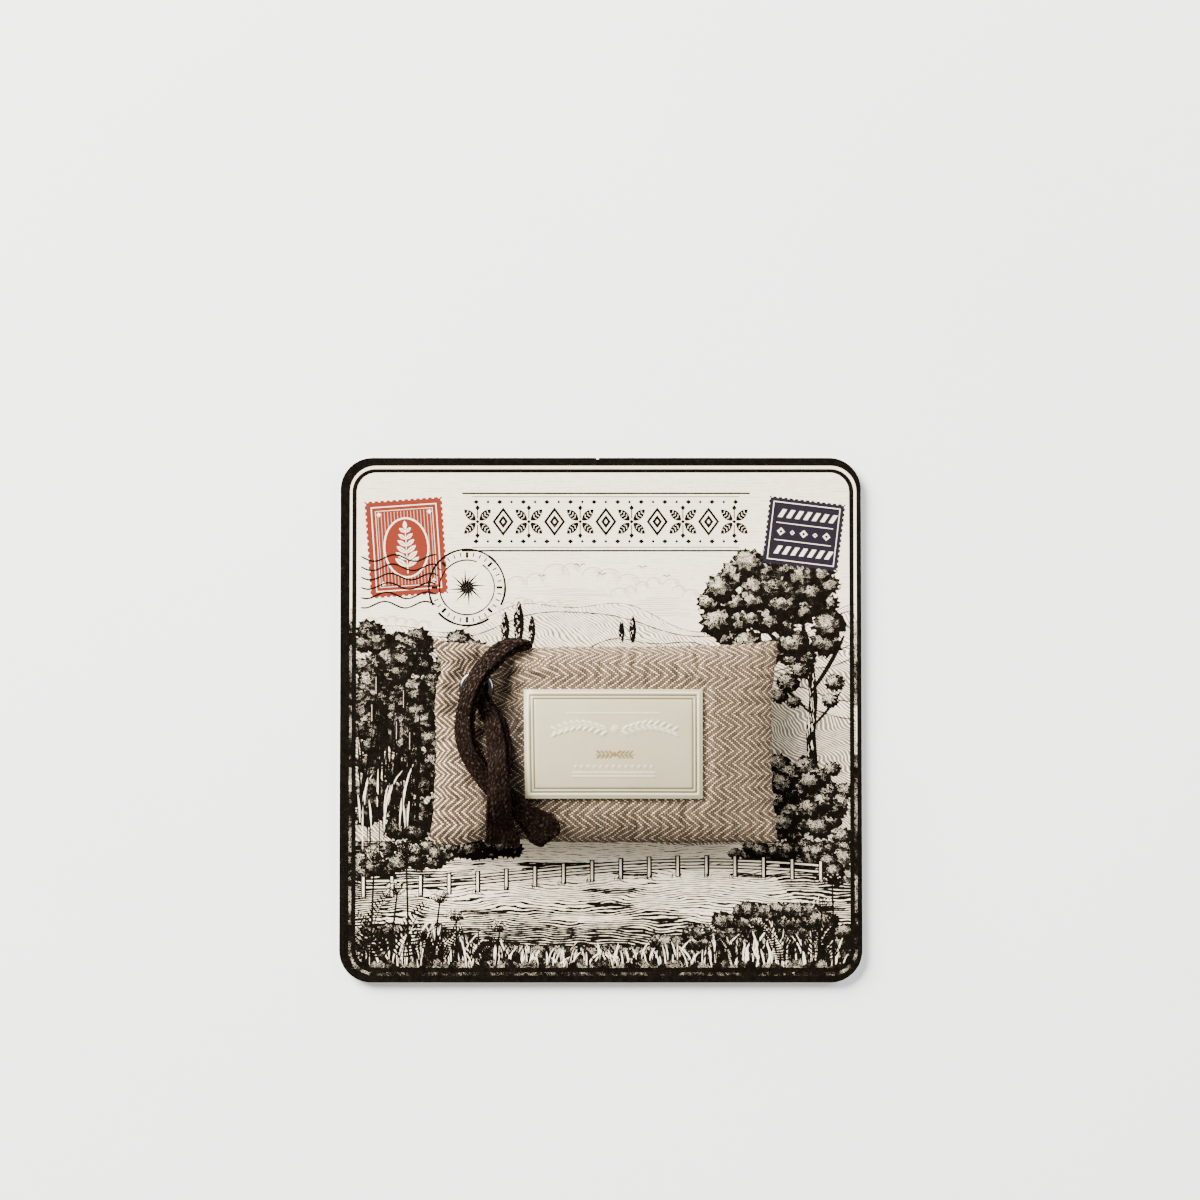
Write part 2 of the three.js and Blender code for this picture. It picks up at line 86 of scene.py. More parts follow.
def distance_to(line, x, y):
    best = np.full(np.broadcast(x, y).shape, 1e9)
    for (ax, ay), (bx, by) in zip(line, line[1:]):
        dx, dy = bx - ax, by - ay
        t = np.clip(((x - ax) * dx + (y - ay) * dy) / (dx * dx + dy * dy), 0, 1)
        best = np.minimum(best, np.hypot(x - ax - t * dx, y - ay - t * dy))
    return best


def lens_shape(t):
    return np.maximum(0, 1 - np.minimum(1, np.abs(t)) ** 2.4) ** 0.8


def loft(x, y):
    return (
        lens_shape((x - CX) / HALF_W)
        * lens_shape((y - CY) / HALF_H)
        * smooth(6.3, 17, np.hypot(x - EYE_X, y - EYE_Y))
    )


def crown_front(x, y):
    return np.maximum(
        0,
        8.4 * loft(x, y)
        - 1.2 * bell(distance_to(FRONT_RUN, x, y), 5)
        - 1.2 * bell(distance_to(FRONT_ARC, x, y), 5),
    )


def crown_back(x, y):
    return np.maximum(
        0, np.minimum(4.0, 5.2 * loft(x, y)) - 1.9 * bell(distance_to(BACK_RUN, x, y), 7)
    )


def outline(x, y):
    u, v = (x - CX) / HALF_W, (y - CY) / HALF_H
    u6, v6 = np.abs(u) ** 6, np.abs(v) ** 6
    left = (1.0 * (1 - v * v) + 0.5 * v + 1.6 * bell(y - 14.5, 4)) * u6
    right = (-1.6 * np.maximum(0, 1 - v * v) ** 1.4 + 0.15 * v) * u6
    top = (-1.6 * (1 - u * u) - 1.2 * bell(x + 25, 7)) * v6
    bottom = (0.4 * (1 - u * u) + 1.0 * bell(x + 28.5, 7)) * v6
    return x + np.where(u < 0, left, right), y + np.where(v < 0, bottom, top)


def front_z(x, y):
    return SEAM_Z + PANEL + crown_front(x, y)


def back_z(x, y):
    return SEAM_Z - PANEL - crown_back(x, y)


# Repeatable noise, from a hash of the lattice.
def lattice(ix, iy, seed):
    h = (ix * 374761393 + iy * 668265263 + seed * 974634777) & 0xFFFFFFFF
    h = ((h ^ (h >> 13)) * 1274126177) & 0xFFFFFFFF
    h = ((h ^ (h >> 15)) * 2246822519) & 0xFFFFFFFF
    return ((h ^ (h >> 16)) & 0xFFFF) / 65535.0


def noise(x, y, seed=0):
    x, y = np.broadcast_arrays(np.asarray(x, float), np.asarray(y, float))
    ix, iy = np.floor(x).astype(np.int64), np.floor(y).astype(np.int64)
    fx, fy = x - ix, y - iy
    fx, fy = fx**3 * (fx * (6 * fx - 15) + 10), fy**3 * (fy * (6 * fy - 15) + 10)
    a, b = lattice(ix, iy, seed), lattice(ix + 1, iy, seed)
    c, d = lattice(ix, iy + 1, seed), lattice(ix + 1, iy + 1, seed)
    return 2 * ((a + (b - a) * fx) * (1 - fy) + (c + (d - c) * fx) * fy) - 1


def fractal(x, y, seed=0, octaves=4):
    total, weight = 0, 1.0
    for k in range(octaves):
        total = total + weight * noise(x * 2**k, y * 2**k, seed + 17 * k)
        weight *= 0.5
    return total / 1.6


# ---------------------------------------------------------------- meshes


def make_mesh(name, points, faces, body=None, replaces=(), smooth_faces=True):
    mesh = bpy.data.meshes.new(name)
    mesh.from_pydata((np.asarray(points, float) * MM).tolist(), [], [list(map(int, f)) for f in faces])
    mesh.validate()
    mesh.update()
    if smooth_faces:
        mesh.polygons.foreach_set("use_smooth", np.ones(len(mesh.polygons), bool))
    obj = bpy.data.objects.new(name, mesh)
    bpy.context.scene.collection.objects.link(obj)
    if body:
        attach(obj, body)
    if replaces:
        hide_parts(*replaces)
    return obj


def give(obj, name, values, kind="FLOAT_VECTOR", domain="POINT"):
    a = obj.data.attributes.new(name, kind, domain)
    field = {"FLOAT_VECTOR": "vector", "FLOAT": "value", "FLOAT_COLOR": "color"}[kind]
    a.data.foreach_set(field, np.ascontiguousarray(values, dtype=np.float32).ravel())


def grid_faces(nx, ny, base=0, flip=False, keep=None):
    i, j = np.meshgrid(np.arange(nx - 1), np.arange(ny - 1), indexing="ij")
    a = base + i * ny + j
    quads = np.stack([a, a + ny, a + ny + 1, a + 1], -1).reshape(-1, 4)
    if keep is not None:
        quads = quads[keep.reshape(-1)]
    return quads[:, ::-1] if flip else quads


# ---------------------------------------------------------------- lace routes, as the frame lays them

ON = LACE_T / 2 + 0.3
HOLE_N = (-0.507, 0.862, 0.02)


def unit(v):
    v = np.asarray(v, float)
    return v / np.linalg.norm(v)


def slope_of(crown, x, y):
    f = lambda a, b: float(crown(np.float64(a), np.float64(b)))
    return f(x + 0.5, y) - f(x - 0.5, y), f(x, y + 0.5) - f(x, y - 0.5)


def on_front(x, y, lift, w=LACE_W, tilt=(0, 0)):
    sx, sy = slope_of(crown_front, x, y)
    return [x, y, float(front_z(x, y)) + lift, *unit((-sx + tilt[0], -sy + tilt[1], 1)), w]


def on_back(x, y, lift, w=LACE_W):
    sx, sy = slope_of(crown_back, x, y)
    return [x, y, float(back_z(x, y)) - lift, *unit((-sx, -sy, -1)), w]


def in_space(x, y, z, nx, ny, nz, w=LACE_W):
    return [x, y, z, *unit((nx, ny, nz)), w]


route = [
    (in_space(EYE_X + 0.5, EYE_Y - 0.8, SEAM_Z - 1.9, *HOLE_N, 3.0), 0, 1.85),
    (in_space(EYE_X + 0.5, EYE_Y - 0.8, SEAM_Z + 1.6, *HOLE_N, 3.0), 0, 1.85),
    (in_space(EYE_X + 1.4, EYE_Y - 2.0, SEAM_Z + 3.4, -0.6, 0.5, 0.62, 3.6), 0, 2.05),
    (in_space(EYE_X + 3.0, EYE_Y - 4.4, SEAM_Z + 4.2, -0.75, 0.1, 0.66, 4.4), 0, 2.0),
    (on_front(-30.6, 0.6, ON + 1.8, LACE_W, (-0.75, 0)), 0, 1.95),
    (on_front(-29.2, -3.6, ON + 1.0, LACE_W, (-0.3, 0)), -0.4, 1.85),
    (on_front(-28.2, -8.0, ON + 0.1, LACE_W * 1.04), -1.0, 1.85),
    (on_front(-28.0, -11.4, ON + 1.9, LACE_W * 1.08), -0.9, 1.85),
    (on_front(-28.3, -14.6, ON + 4.1, LACE_W * 1.09), -0.4, 1.85),
    (on_front(-28.8, -18.4, ON + 4.8, LACE_W * 1.08), 0.5, 1.85),
    (on_front(-29.3, -22.4, ON + 5.3, LACE_W * 1.05), 1.2, 1.85),
    (on_front(-29.8, -26.4, ON + 4.3), 1.7, 1.85),
    (on_front(-29.9, -30.0, ON + 1.4), 2.6, 1.85),
    (in_space(-30.2, -33.9, SEAM_Z + 3.1, 0, -0.75, 0.66, 5.0), 4.6, 1.85),
    (in_space(-30.6, -35.4, SEAM_Z + 0.2, 0, -1, 0, 4.8), 5.2, 0.5),
    (in_space(-30.9, -34.3, SEAM_Z - 2.8, 0, -0.72, -0.7, 5.0), 5.4, 0),
    (on_back(-31.2, -30.6, ON + 0.3), on_back(-25.4, -30.6, ON + 0.4)),
    (on_back(-30.8, -24.0, ON + 0.1), on_back(-25.0, -24.0, ON + 0.1)),
    (on_back(-30.2, -15.0, ON + 0.2), on_back(-24.4, -15.0, ON + 0.3)),
    (on_back(-29.4, -5.0, ON + 0.2), on_back(-23.65, -5.0, ON + 0.3)),
    (on_back(-28.2, 4.0, ON + 0.5), on_back(-22.6, 3.6, ON + 0.4)),
    (on_back(-27.0, 11.0, ON + 0.4), on_back(-21.4, 10.4, ON + 0.5)),
    (on_back(-25.6, 15.2, ON + 0.3), on_back(-20.4, 14.4, ON + 1.6)),
    (in_space(-23.0, 19.2, SEAM_Z - 2.6, 0.15, 0.85, -0.5), 2.0, 1.6),
    (in_space(-21.2, 19.9, SEAM_Z - 0.4, 0.1, 1, 0.1), 0.5, 1.3),
    (in_space(-23.6, 20.2, SEAM_Z + 2.2, -0.05, 0.86, 0.5), 0, 1.6),
    (on_front(-28.0, 18.5, ON + 0.95, LACE_W, (-0.2, 0.35)), 0, 1.85),
    (on_front(-31.4, 15.2, ON + 1.9, LACE_W, (-0.4, 0.35)), 0, 1.95),
    (on_front(-33.9, 11.6, ON + 3.9, LACE_W, (-0.7, 0.35)), 0, 1.95),
    (on_front(-36.4, 6.6, ON + 5.3, LACE_W, (-0.8, 0.25)), 0, 1.85),
    (on_front(-37.9, 0.6, ON + 3.1, LACE_W, (-0.75, 0.1)), 0, 1.85),
    (on_front(-38.2, -4.6, ON + 1.7, LACE_W, (-0.65, -0.1)), 0, 1.85),
    (on_front(-37.0, -9.6, ON + 0.9, LACE_W, (-0.45, -0.15)), 0, 1.85),
    (on_front(-34.9, -14.0, ON + 0.5, LACE_W, (-0.2, -0.1)), 0, 1.85),
    (on_front(-32.5, -18.2, ON + 0.5), 0.2, 1.85),
    (on_front(-30.0, -20.6, ON + 0.8), 0.8, 1.85),
    (on_front(-27.8, -22.8, ON + 0.7), 1.3, 1.85),
    (on_front(-24.6, -25.8, ON + 0.4), 1.7, 1.85),
    (on_front(-21.6, -28.4, ON + 0.2), 1.8, 1.85),
    (on_front(-18.3, -31.3, ON + 0.4), 1.9, 1.85),
    (in_space(-15.1, -35.1, SEAM_Z + 3.4, 0.1, -0.45, 0.9), 1.9, 1.85),
]
lower_rows = np.array([r[0] for r in route])
upper_rows = []
for k, row in enumerate(route):
    if isinstance(row[1], list):
        upper_rows.append(row[1])
        continue
    p, n = lower_rows[k, :3], lower_rows[k, 3:6]
    along = unit(lower_rows[min(len(route) - 1, k + 1), :3] - lower_rows[max(0, k - 1), :3])
    up = unit(n - along * n.dot(along))
    side = np.cross(up, along)
    upper_rows.append([*(p + side * row[1] + up * row[2]), *n, lower_rows[k, 6]])
upper_rows = np.array(upper_rows)
bight_rows = np.array([
    in_space(-35.95, 9.2, SEAM_Z - 2.2, *HOLE_N, 3.0),
    in_space(-35.95, 9.25, SEAM_Z - 2.9, *HOLE_N, 3.0),
    in_space(-35.4, 9.9, SEAM_Z - 3.9, -0.6, 0.7, 0.5, 3.2),
    in_space(-33.0, 11.4, SEAM_Z - 4.8, -0.4, 0.3, 0.85, 4.0),
    in_space(-29.0, 12.4, SEAM_Z - 5.8, -0.25, 0.05, 0.95, 4.6),
    in_space(-24.0, 12.0, SEAM_Z - 6.7, -0.1, 0, 1, 4.8),
    in_space(-19.6, 10.0, SEAM_Z - 6.9, 0, 0, 1, 4.8),
    in_space(-17.9, 6.8, SEAM_Z - 6.9, 0, 0, 1, 4.8),
    in_space(-19.6, 3.6, SEAM_Z - 6.9, 0, 0, 1, 4.8),
    in_space(-24.0, 2.1, SEAM_Z - 6.7, -0.1, 0, 1, 4.8),
    in_space(-29.0, 2.6, SEAM_Z - 5.8, -0.25, -0.05, 0.95, 4.6),
    in_space(-32.6, 4.6, SEAM_Z - 4.8, -0.4, 0.1, 0.9, 4.0),
    in_space(-34.5, 6.7, SEAM_Z - 3.9, -0.5, 0.6, 0.6, 3.2),
    in_space(-35.0, 7.55, SEAM_Z - 2.9, *HOLE_N, 3.0),
    in_space(-35.0, 7.6, SEAM_Z - 2.2, *HOLE_N, 3.0),
])


def spline(rows, t):
    """Uniform Catmull-Rom through the rows, at parameters t from 0 to 1."""
    n = len(rows) - 1
    i = np.clip(np.floor(t * n).astype(int), 0, n - 1)
    f = (t * n - i)[:, None]
    a, b, c, d = (rows[np.clip(i + k, 0, n)] for k in (-1, 0, 1, 2))
    return 0.5 * (
        2 * b + (c - a) * f + (2 * a - 5 * b + 4 * c - d) * f * f + (3 * b - a - 3 * c + d) * f**3
    )


def lace_mesh(name, rows, spacing, around, seed, replaces, cut_end=False):
    """A flat braid along the rows: plump yarns that cross in slanted stitches, in real relief."""
    fine = spline(rows, np.linspace(0, 1, 4000))
    run = np.concatenate([[0], np.cumsum(np.linalg.norm(np.diff(fine[:, :3], axis=0), axis=1))])
    length = run[-1]
    steps = int(length / spacing)
    s = np.linspace(0, length, steps + 1)
    row = np.stack([np.interp(s, run, fine[:, k]) for k in range(7)], 1)
    p, n, w = row[:, :3], row[:, 3:6], row[:, 6]
    if cut_end:  # drawn together where it bends over the top seam
        at = np.interp(s, run, np.linspace(0, len(rows) - 1, 4000))
        w = w * (1 - 0.60 * bell(at - 23.8, 1.15))
    along = np.gradient(p, axis=0)
    along /= np.linalg.norm(along, axis=1, keepdims=True)
    n = n - along * (n * along).sum(1, keepdims=True)
    n /= np.linalg.norm(n, axis=1, keepdims=True)
    side = np.cross(n, along)
    # section, run round once, as a flattened superellipse with even spacing
    a = np.linspace(0, 2 * np.pi, 721)
    power = 0.72
    sx = np.sign(np.cos(a)) * np.abs(np.cos(a)) ** power * 0.5
    sy = np.sign(np.sin(a)) * np.abs(np.sin(a)) ** power * 0.5
    girth = np.concatenate([[0], np.cumsum(np.hypot(np.diff(sx * 5.6), np.diff(sy * 1.5)))])
    where = np.linspace(0, girth[-1], around + 1)[:-1]
    ex, ey = np.interp(where, girth, sx), np.interp(where, girth, sy)
    # outward direction of the section
    gx, gy = np.roll(ey, -1) * 1.5 - np.roll(ey, 1) * 1.5, -(np.roll(ex, -1) * 5.6 - np.roll(ex, 1) * 5.6)
    g = np.hypot(gx, gy)
    gx, gy = gx / g, gy / g
    round_at = where / girth[-1]
    columns = 10  # stitches round the braid
    u = round_at[None, :] * columns
    col = np.floor(u)
    local = u - col - 0.5
    lean = np.where(col % 2 == 0, 1.0, -1.0)
    stitch = 1.75
    phase = s[:, None] / stitch + lean * local * 0.9 + (col % 2) * 0.5
    jitter = 0.12 * noise(s[:, None] * 0.35, col * 3.1, seed)
    frac = phase + jitter - np.floor(phase + jitter)
    ridge = np.sqrt(np.clip(1 - (2 * frac - 1) ** 2, 0, 1)) * np.sqrt(np.clip(1 - (2 * local) ** 2 * 0.86, 0, 1))
    relief = 0.36 * (ridge - 0.72)
    relief += 0.05 * fractal(s[:, None] * 0.6, u * 0.8, seed + 5, 3)
    if cut_end:
        relief = relief + 0.10 * smooth(2.5, 0, length - s)[:, None] * noise(col * 2.3 + 0.5, s[:, None] * 2.0, seed + 9)
    to_end = (length - s)[:, None]
    tip = np.clip(1 - to_end / 3.2, 0, 1)  # the cut end is spread and rounded off
    flare = (1 + 0.62 * smooth(12.5, 1.5, to_end)) * np.sqrt(1 - 0.66 * tip**2) if cut_end else 1.0
    thicker = 1 + 0.34 * smooth(9.0, 2.0, to_end) if cut_end else 1.0
    wide, thick = w[:, None] * 1.015 * flare, thicker * LACE_T * (0.97 + 0.05 * noise(s[:, None] * 0.12, 0 * u, seed + 2))
    x = ex[None, :] * wide + gx[None, :] * relief
    y = ey[None, :] * thick + gy[None, :] * relief
    pts = p[:, None, :] + side[:, None, :] * x[..., None] + n[:, None, :] * y[..., None]
    if cut_end:
        # yarn ends are cut a little unevenly
        ends = 0.45 * noise(np.arange(around) * 0.9, 3.0, seed + 11) + 0.25 * noise(np.arange(around) * 3.7, 7.0, seed + 12)
        weight = smooth(2.2, 0, length - s)
        pts += along[:, None, :] * (weight[:, None] * ends[None, :])[..., None]
    count = len(s)
    k, m = np.meshgrid(np.arange(count - 1), np.arange(around), indexing="ij")
    m2 = (m + 1) % around
    quads = np.stack([k * around + m, k * around + m2, (k + 1) * around + m2, (k + 1) * around + m], -1).reshape(-1, 4)
    points = pts.reshape(-1, 3)
    coords = np.stack([np.repeat(s, around), np.tile(u[0], count), np.tile(ridge.mean() * np.ones(around), count)], 1)
    coords[:, 2] = ridge.reshape(-1)
    faces = [list(q) for q in quads]
    # caps: rings that shrink to the middle, with the yarn ends standing as small mounds
    for start, sign in ((0, -1), (count - 1, 1)):
        ring = np.arange(around) + start * around
        centre = pts[start].mean(0)
        previous = ring
        for t in (0.72, 0.42, 0.16):
            new = centre + (pts[start] - centre) * t
            bump = 0.10 * noise(np.cos(round_at * 6.283) * t * 6, np.sin(round_at * 6.283) * t * 5, seed + 20)
            new = new + along[start] * sign * (bump[:, None] + 0.06)
            base = len(points)
            points = np.vstack([points, new])
            coords = np.vstack([coords, np.stack([np.full(around, s[start]), u[0] * t, 0.5 + bump * 3], 1)])
            now = base + np.arange(around)
            nxt = (np.arange(around) + 1) % around
            for q in range(around):
                f = [previous[q], previous[nxt[q]], now[nxt[q]], now[q]]
                faces.append(f if sign > 0 else f[::-1])
            previous = now
        base = len(points)
        points = np.vstack([points, centre + along[start] * sign * 0.06])
        coords = np.vstack([coords, [[s[start], 0, 0.5]]])
        for q in range(around):
            f = [previous[q], previous[(q + 1) % around], base]
            faces.append(f if sign > 0 else f[::-1])
    obj = make_mesh(name, points, faces, "sachet", replaces)
    give(obj, "braid", coords)
    return obj, p, length, (p[-1], along[-1], side[-1], n[-1])


STEP = 0.26
strand_upper, path_upper, long_upper, end_upper = lace_mesh(
    "lace_upper", upper_rows, STEP, 56, 3, ["lace_strand_upper"], True
)
strand_lower, path_lower, long_lower, end_lower = lace_mesh(
    "lace_lower", lower_rows, STEP, 56, 8, ["lace_strand_lower"], True
)
bight, _, long_bight, _ = lace_mesh(
    "lace_behind", bight_rows, STEP, 56, 13, ["lace_bight"]
)
print("lace lengths in mm:", round(long_upper, 1), round(long_lower, 1), round(long_bight, 1))


def fibres(name, ends, seed):
    """Short frayed fibres at the two cut ends, as thin tapering tubes."""
    rng = np.random.default_rng(seed)
    points, faces, coords = [], [], []
    for p, along, side, up in ends:
        for _ in range(90):
            t = rng.uniform(-1, 1)
            edge = rng.uniform(-1, 1)
            root = p + side * t * 2.3 + up * edge * 0.6 - along * rng.uniform(0.1, 0.5)
            d = unit(along + side * (0.5 * t + rng.normal(0, 0.35)) + up * (0.4 * edge + rng.normal(0, 0.3)))
            bend = rng.normal(0, 0.45, 3)
            size = rng.uniform(0.5, 1.15)
            r0 = rng.uniform(0.035, 0.07)
            e1 = unit(np.cross(d, [0.3, 0.2, 0.9]))
            e2 = np.cross(d, e1)
            base = len(points)
            levels = 5
            for k in range(levels):
                f = k / (levels - 1)
                c = root + d * size * f + bend * size * 0.35 * f * f
                r = r0 * (1 - 0.75 * f)
                for a in (0, 2.0944, 4.1888):
                    points.append(c + e1 * math.cos(a) * r + e2 * math.sin(a) * r)
                    coords.append([f, t, 0.5])
            for k in range(levels - 1):
                for a in range(3):
                    b = (a + 1) % 3
                    faces.append([base + k * 3 + a, base + k * 3 + b, base + k * 3 + 3 + b, base + k * 3 + 3 + a])
            faces.append([base + 2, base + 1, base])
            top = base + (levels - 1) * 3
            faces.append([top, top + 1, top + 2])
    obj = make_mesh(name, points, faces, "sachet")
    give(obj, "braid", coords)
    return obj


frayed = fibres("lace_frayed_ends", [end_upper, end_lower], 5)

# ---------------------------------------------------------------- pillow

RIM_IN = [0.42, 0.10, 0.0, 0.14, 0.44, 0.95]  # how far in each rim row lies
RIM_UP = [0.0, 0.22, 0.48, 0.76, 0.91, 0.95]  # and how far off the seam plane
LEFT, RIGHT, BOTTOM, TOP = CX - HALF_W, CX + HALF_W, CY - HALF_H, CY + HALF_H
CELL = 0.5
xs_mid = EYE_X + CELL * np.arange(-22, 170)
xs_mid = xs_mid[(xs_mid > LEFT + 1.4) & (xs_mid < RIGHT - 1.3)]
ys_mid = EYE_Y + CELL * np.arange(-90, 40)
ys_mid = ys_mid[(ys_mid > BOTTOM + 1.3) & (ys_mid < TOP - 1.3)]
xs = np.concatenate([LEFT + np.array(RIM_IN), xs_mid, (RIGHT - np.array(RIM_IN))[::-1]])
ys = np.concatenate([BOTTOM + np.array(RIM_IN), ys_mid, (TOP - np.array(RIM_IN))[::-1]])
NX, NY = len(xs), len(ys)
rim_x = np.minimum(np.arange(NX), NX - 1 - np.arange(NX))
rim_y = np.minimum(np.arange(NY), NY - 1 - np.arange(NY))
rise_x = np.interp(rim_x, range(6), RIM_UP)
rise_y = np.interp(rim_y, range(6), RIM_UP)
GX, GY = np.meshgrid(xs, ys, indexing="ij")
rim_rise = np.minimum(rise_x[:, None], rise_y[None, :])
eye_i, eye_j = int(np.argmin(np.abs(xs - EYE_X))), int(np.argmin(np.abs(ys - EYE_Y)))
HOLE_CELLS = 6
# rings of cells round the eyelet turn from squares into circles
ax, ay = GX - EYE_X, GY - EYE_Y
cheb, eucl = np.maximum(np.abs(ax), np.abs(ay)), np.hypot(ax, ay)
turn = 1 - smooth(3.2, 8.5, cheb)
factor = 1 - turn + turn * cheb / np.maximum(eucl, 1e-6)
PX, PY = EYE_X + ax * factor, EYE_Y + ay * factor
# corners are rounded a little
for cxn, cyn, r in ((LEFT, TOP, 1.0), (RIGHT, TOP, 1.3), (RIGHT, BOTTOM, 1.5), (LEFT, BOTTOM, 2.2)):
    sxn, syn = np.sign(cxn - CX), np.sign(cyn - CY)
    a = (PX - (cxn - sxn * r)) * sxn
    b = (PY - (cyn - syn * r)) * syn
    inside = (a > 0) & (b > 0)
    k = np.where(inside, np.maximum(a, b) / np.maximum(np.hypot(a, b), 1e-9), 1)
    PX = np.where(inside, cxn - sxn * r + sxn * a * k, PX)
    PY = np.where(inside, cyn - syn * r + syn * b * k, PY)


def flat_coordinates(z):
    """Where each point of the cloth was before it was filled: lengths along the surface, with straight seams."""
    dx = np.hypot(np.diff(GX, axis=0), np.diff(z, axis=0))
    dy = np.hypot(np.diff(GY, axis=1), np.diff(z, axis=1))
    dx[np.abs(np.diff(GX, axis=0)) < 0.5 * CELL * 0.4] = np.abs(np.diff(GX, axis=0))[np.abs(np.diff(GX, axis=0)) < 0.5 * CELL * 0.4]
    fx = np.concatenate([np.zeros((1, NY)), np.cumsum(dx, 0)], 0)
    fy = np.concatenate([np.zeros((NX, 1)), np.cumsum(dy, 1)], 1)
    wide, high = np.percentile(fx[-1], 70), np.percentile(fy[:, -1], 70)
    fx = fx / fx[-1:] * wide
    fy = fy / fy[:, -1:] * high
    fx, fy = fx - wide / 2 + CX, fy - high / 2 + CY
    # more cloth is gathered left of the lace, and beside the eyelet
    left = np.clip(-29.0 - PX, 0, None)
    fx = fx - 0.20 * left * left / (left + 4.0)
    pinch = np.hypot((PX + 29.5) / 1.25, PY - 8.0)
    fy = fy + 0.75 * (PY - 8.0) * bell(pinch, 8.5) * smooth(-34, -29, PX)
    fx = fx + 2.0 * bell(np.hypot((PX + 26) / 1.2, PY - 6.0), 8.0)
    ear = bell(np.hypot(PX - LEFT, PY - TOP), 11.0)
    return fx - 2.2 * ear, fy + 1.6 * ear


def soft(field, times=6):
    for _ in range(times):
        p = np.pad(field, 1, mode="edge")
        field = 0.5 * field + 0.125 * (p[2:, 1:-1] + p[:-2, 1:-1] + p[1:-1, 2:] + p[1:-1, :-2])
    return field


def cloth_detail(seed, amount=1.0):
    """Puckers along the seams and the lumps of the fill."""
    to_left, to_right = PX - LEFT, RIGHT - PX
    to_bottom, to_top = PY - BOTTOM, TOP - PY
    total = np.zeros_like(PX)
    for dist, t, s, reach in (
        (to_left, PY, 1, 6.5), (to_right, PY, 2, 6.0), (to_bottom, PX, 3, 5.5), (to_top, PX, 4, 5.5),
    ):
        period = 3.6
        wave = np.sin(2 * np.pi * (t / period + 0.55 * noise(t / 7.0, dist / 18.0, seed + s)))
        gain = 0.35 + 0.65 * np.clip(0.5 + 0.8 * noise(t / 9.0, 0.0 * t, seed + s + 10), 0, 1)
        shape = smooth(0.2, 1.8, dist) * np.exp(-np.maximum(0, dist - 1.8) / reach)
        total += 0.30 * wave * gain * shape
    lumps = 0.34 * fractal(PX / 9.0, PY / 8.0, seed + 30, 3) + 0.10 * fractal(PX / 2.6, PY / 2.6, seed + 31, 2)
    inside = smooth(0, 9, np.minimum(np.minimum(to_left, to_right), np.minimum(to_bottom, to_top)))
    total += lumps * inside
    return total * amount


def under_label(x, y, feather=2.2):
    return (
        smooth(LABEL[0] - feather, LABEL[0], x) * (1 - smooth(LABEL[1], LABEL[1] + feather, x))
        * smooth(LABEL[2] - feather, LABEL[2], y) * (1 - smooth(LABEL[3], LABEL[3] + feather, y))
    )


base_front, base_back = crown_front(PX, PY), crown_back(PX, PY)
fx_front, fy_front = flat_coordinates(base_front)
fx_back, fy_back = flat_coordinates(base_back)
OX, OY = outline(PX, PY)
eye_r, eye_a = np.hypot(PX - EYE_X, PY - EYE_Y), np.arctan2(PY - EYE_Y, PX - EYE_X)
near_eye = smooth(5.2, 7.0, eye_r) * (1 - smooth(11, 20, eye_r))
folds = (0.20 + 0.80 * smooth(-6.0, 2.0, PX - EYE_X)) * near_eye * (0.5 * np.sin(11 * eye_a + 1.5 * noise(eye_r / 5, eye_a * 1.5, 60)) + 0.2 * np.sin(23 * eye_a + 1.0))
detail_front = cloth_detail(100)
# folds that run right from the lace where it pulls the cloth down
pull = bell(PX + 20.5, 7.0) * smooth(-32, -24, PY) * (1 - smooth(17, 21, PY))
detail_front += 0.5 * pull * np.sin(2 * np.pi * (PY / 4.6 + 0.10 * (PX + 24) + 0.6 * noise(PX / 9, PY / 6, 71)))
detail_front += 0.95 * folds
flat_here = smooth(4.9, 6.2, eye_r)
lace_near = bell(np.minimum(distance_to(FRONT_RUN, PX, PY), distance_to(FRONT_ARC, PX, PY)), 3.6)
detail_front = detail_front * flat_here * (1 - 0.97 * under_label(PX, PY)) * (1 - 0.8 * lace_near)
detail_front = np.where(lace_near > 0.4, np.minimum(detail_front, 0.1), detail_front)
detail_back = cloth_detail(300, 0.7) * flat_here * (1 - bell(distance_to(BACK_RUN, PX, PY), 6))
detail_back = detail_back * (1 - 0.95 * (base_back > 3.2)) + 0.3 * folds * (base_back < 3.2)
edge_ripple_y = (0.16 - 0.10 * smooth(0, -10, PY)) * np.sin(2 * np.pi * (PX / 4.1 + noise(PX / 8, 0 * PX, 41)))
edge_ripple_x = 0.16 * np.sin(2 * np.pi * (PY / 3.7 + noise(PY / 8, 0 * PY, 42)))
u6, v6 = np.abs((PX - CX) / HALF_W) ** 10, np.abs((PY - CY) / HALF_H) ** 10
OX, OY = OX + edge_ripple_x * u6, OY + edge_ripple_y * v6
seam_wave = 0.14 * noise(PX / 5.5, PY / 5.5, 43)
ZF = SEAM_Z + rim_rise + base_front + detail_front + seam_wave * (1 - smooth(0, 4, base_front))
ZB = SEAM_Z - rim_rise - base_back - detail_back + seam_wave * (1 - smooth(0, 4, base_front))

tip_tl = bell(np.hypot(PX - LEFT, PY - TOP), 3.2)
OX, OY = OX - 0.35 * tip_tl, OY + 0.60 * tip_tl
# the lower edge hangs a little, most at the left corner
OY = OY - (0.35 + 0.45 * smooth(-20, -8, PX)) * smooth(BOTTOM + 7, BOTTOM, PY) - 1.0 * bell(np.hypot((PX - LEFT - 5) / 1.7, PY - BOTTOM), 5.0)


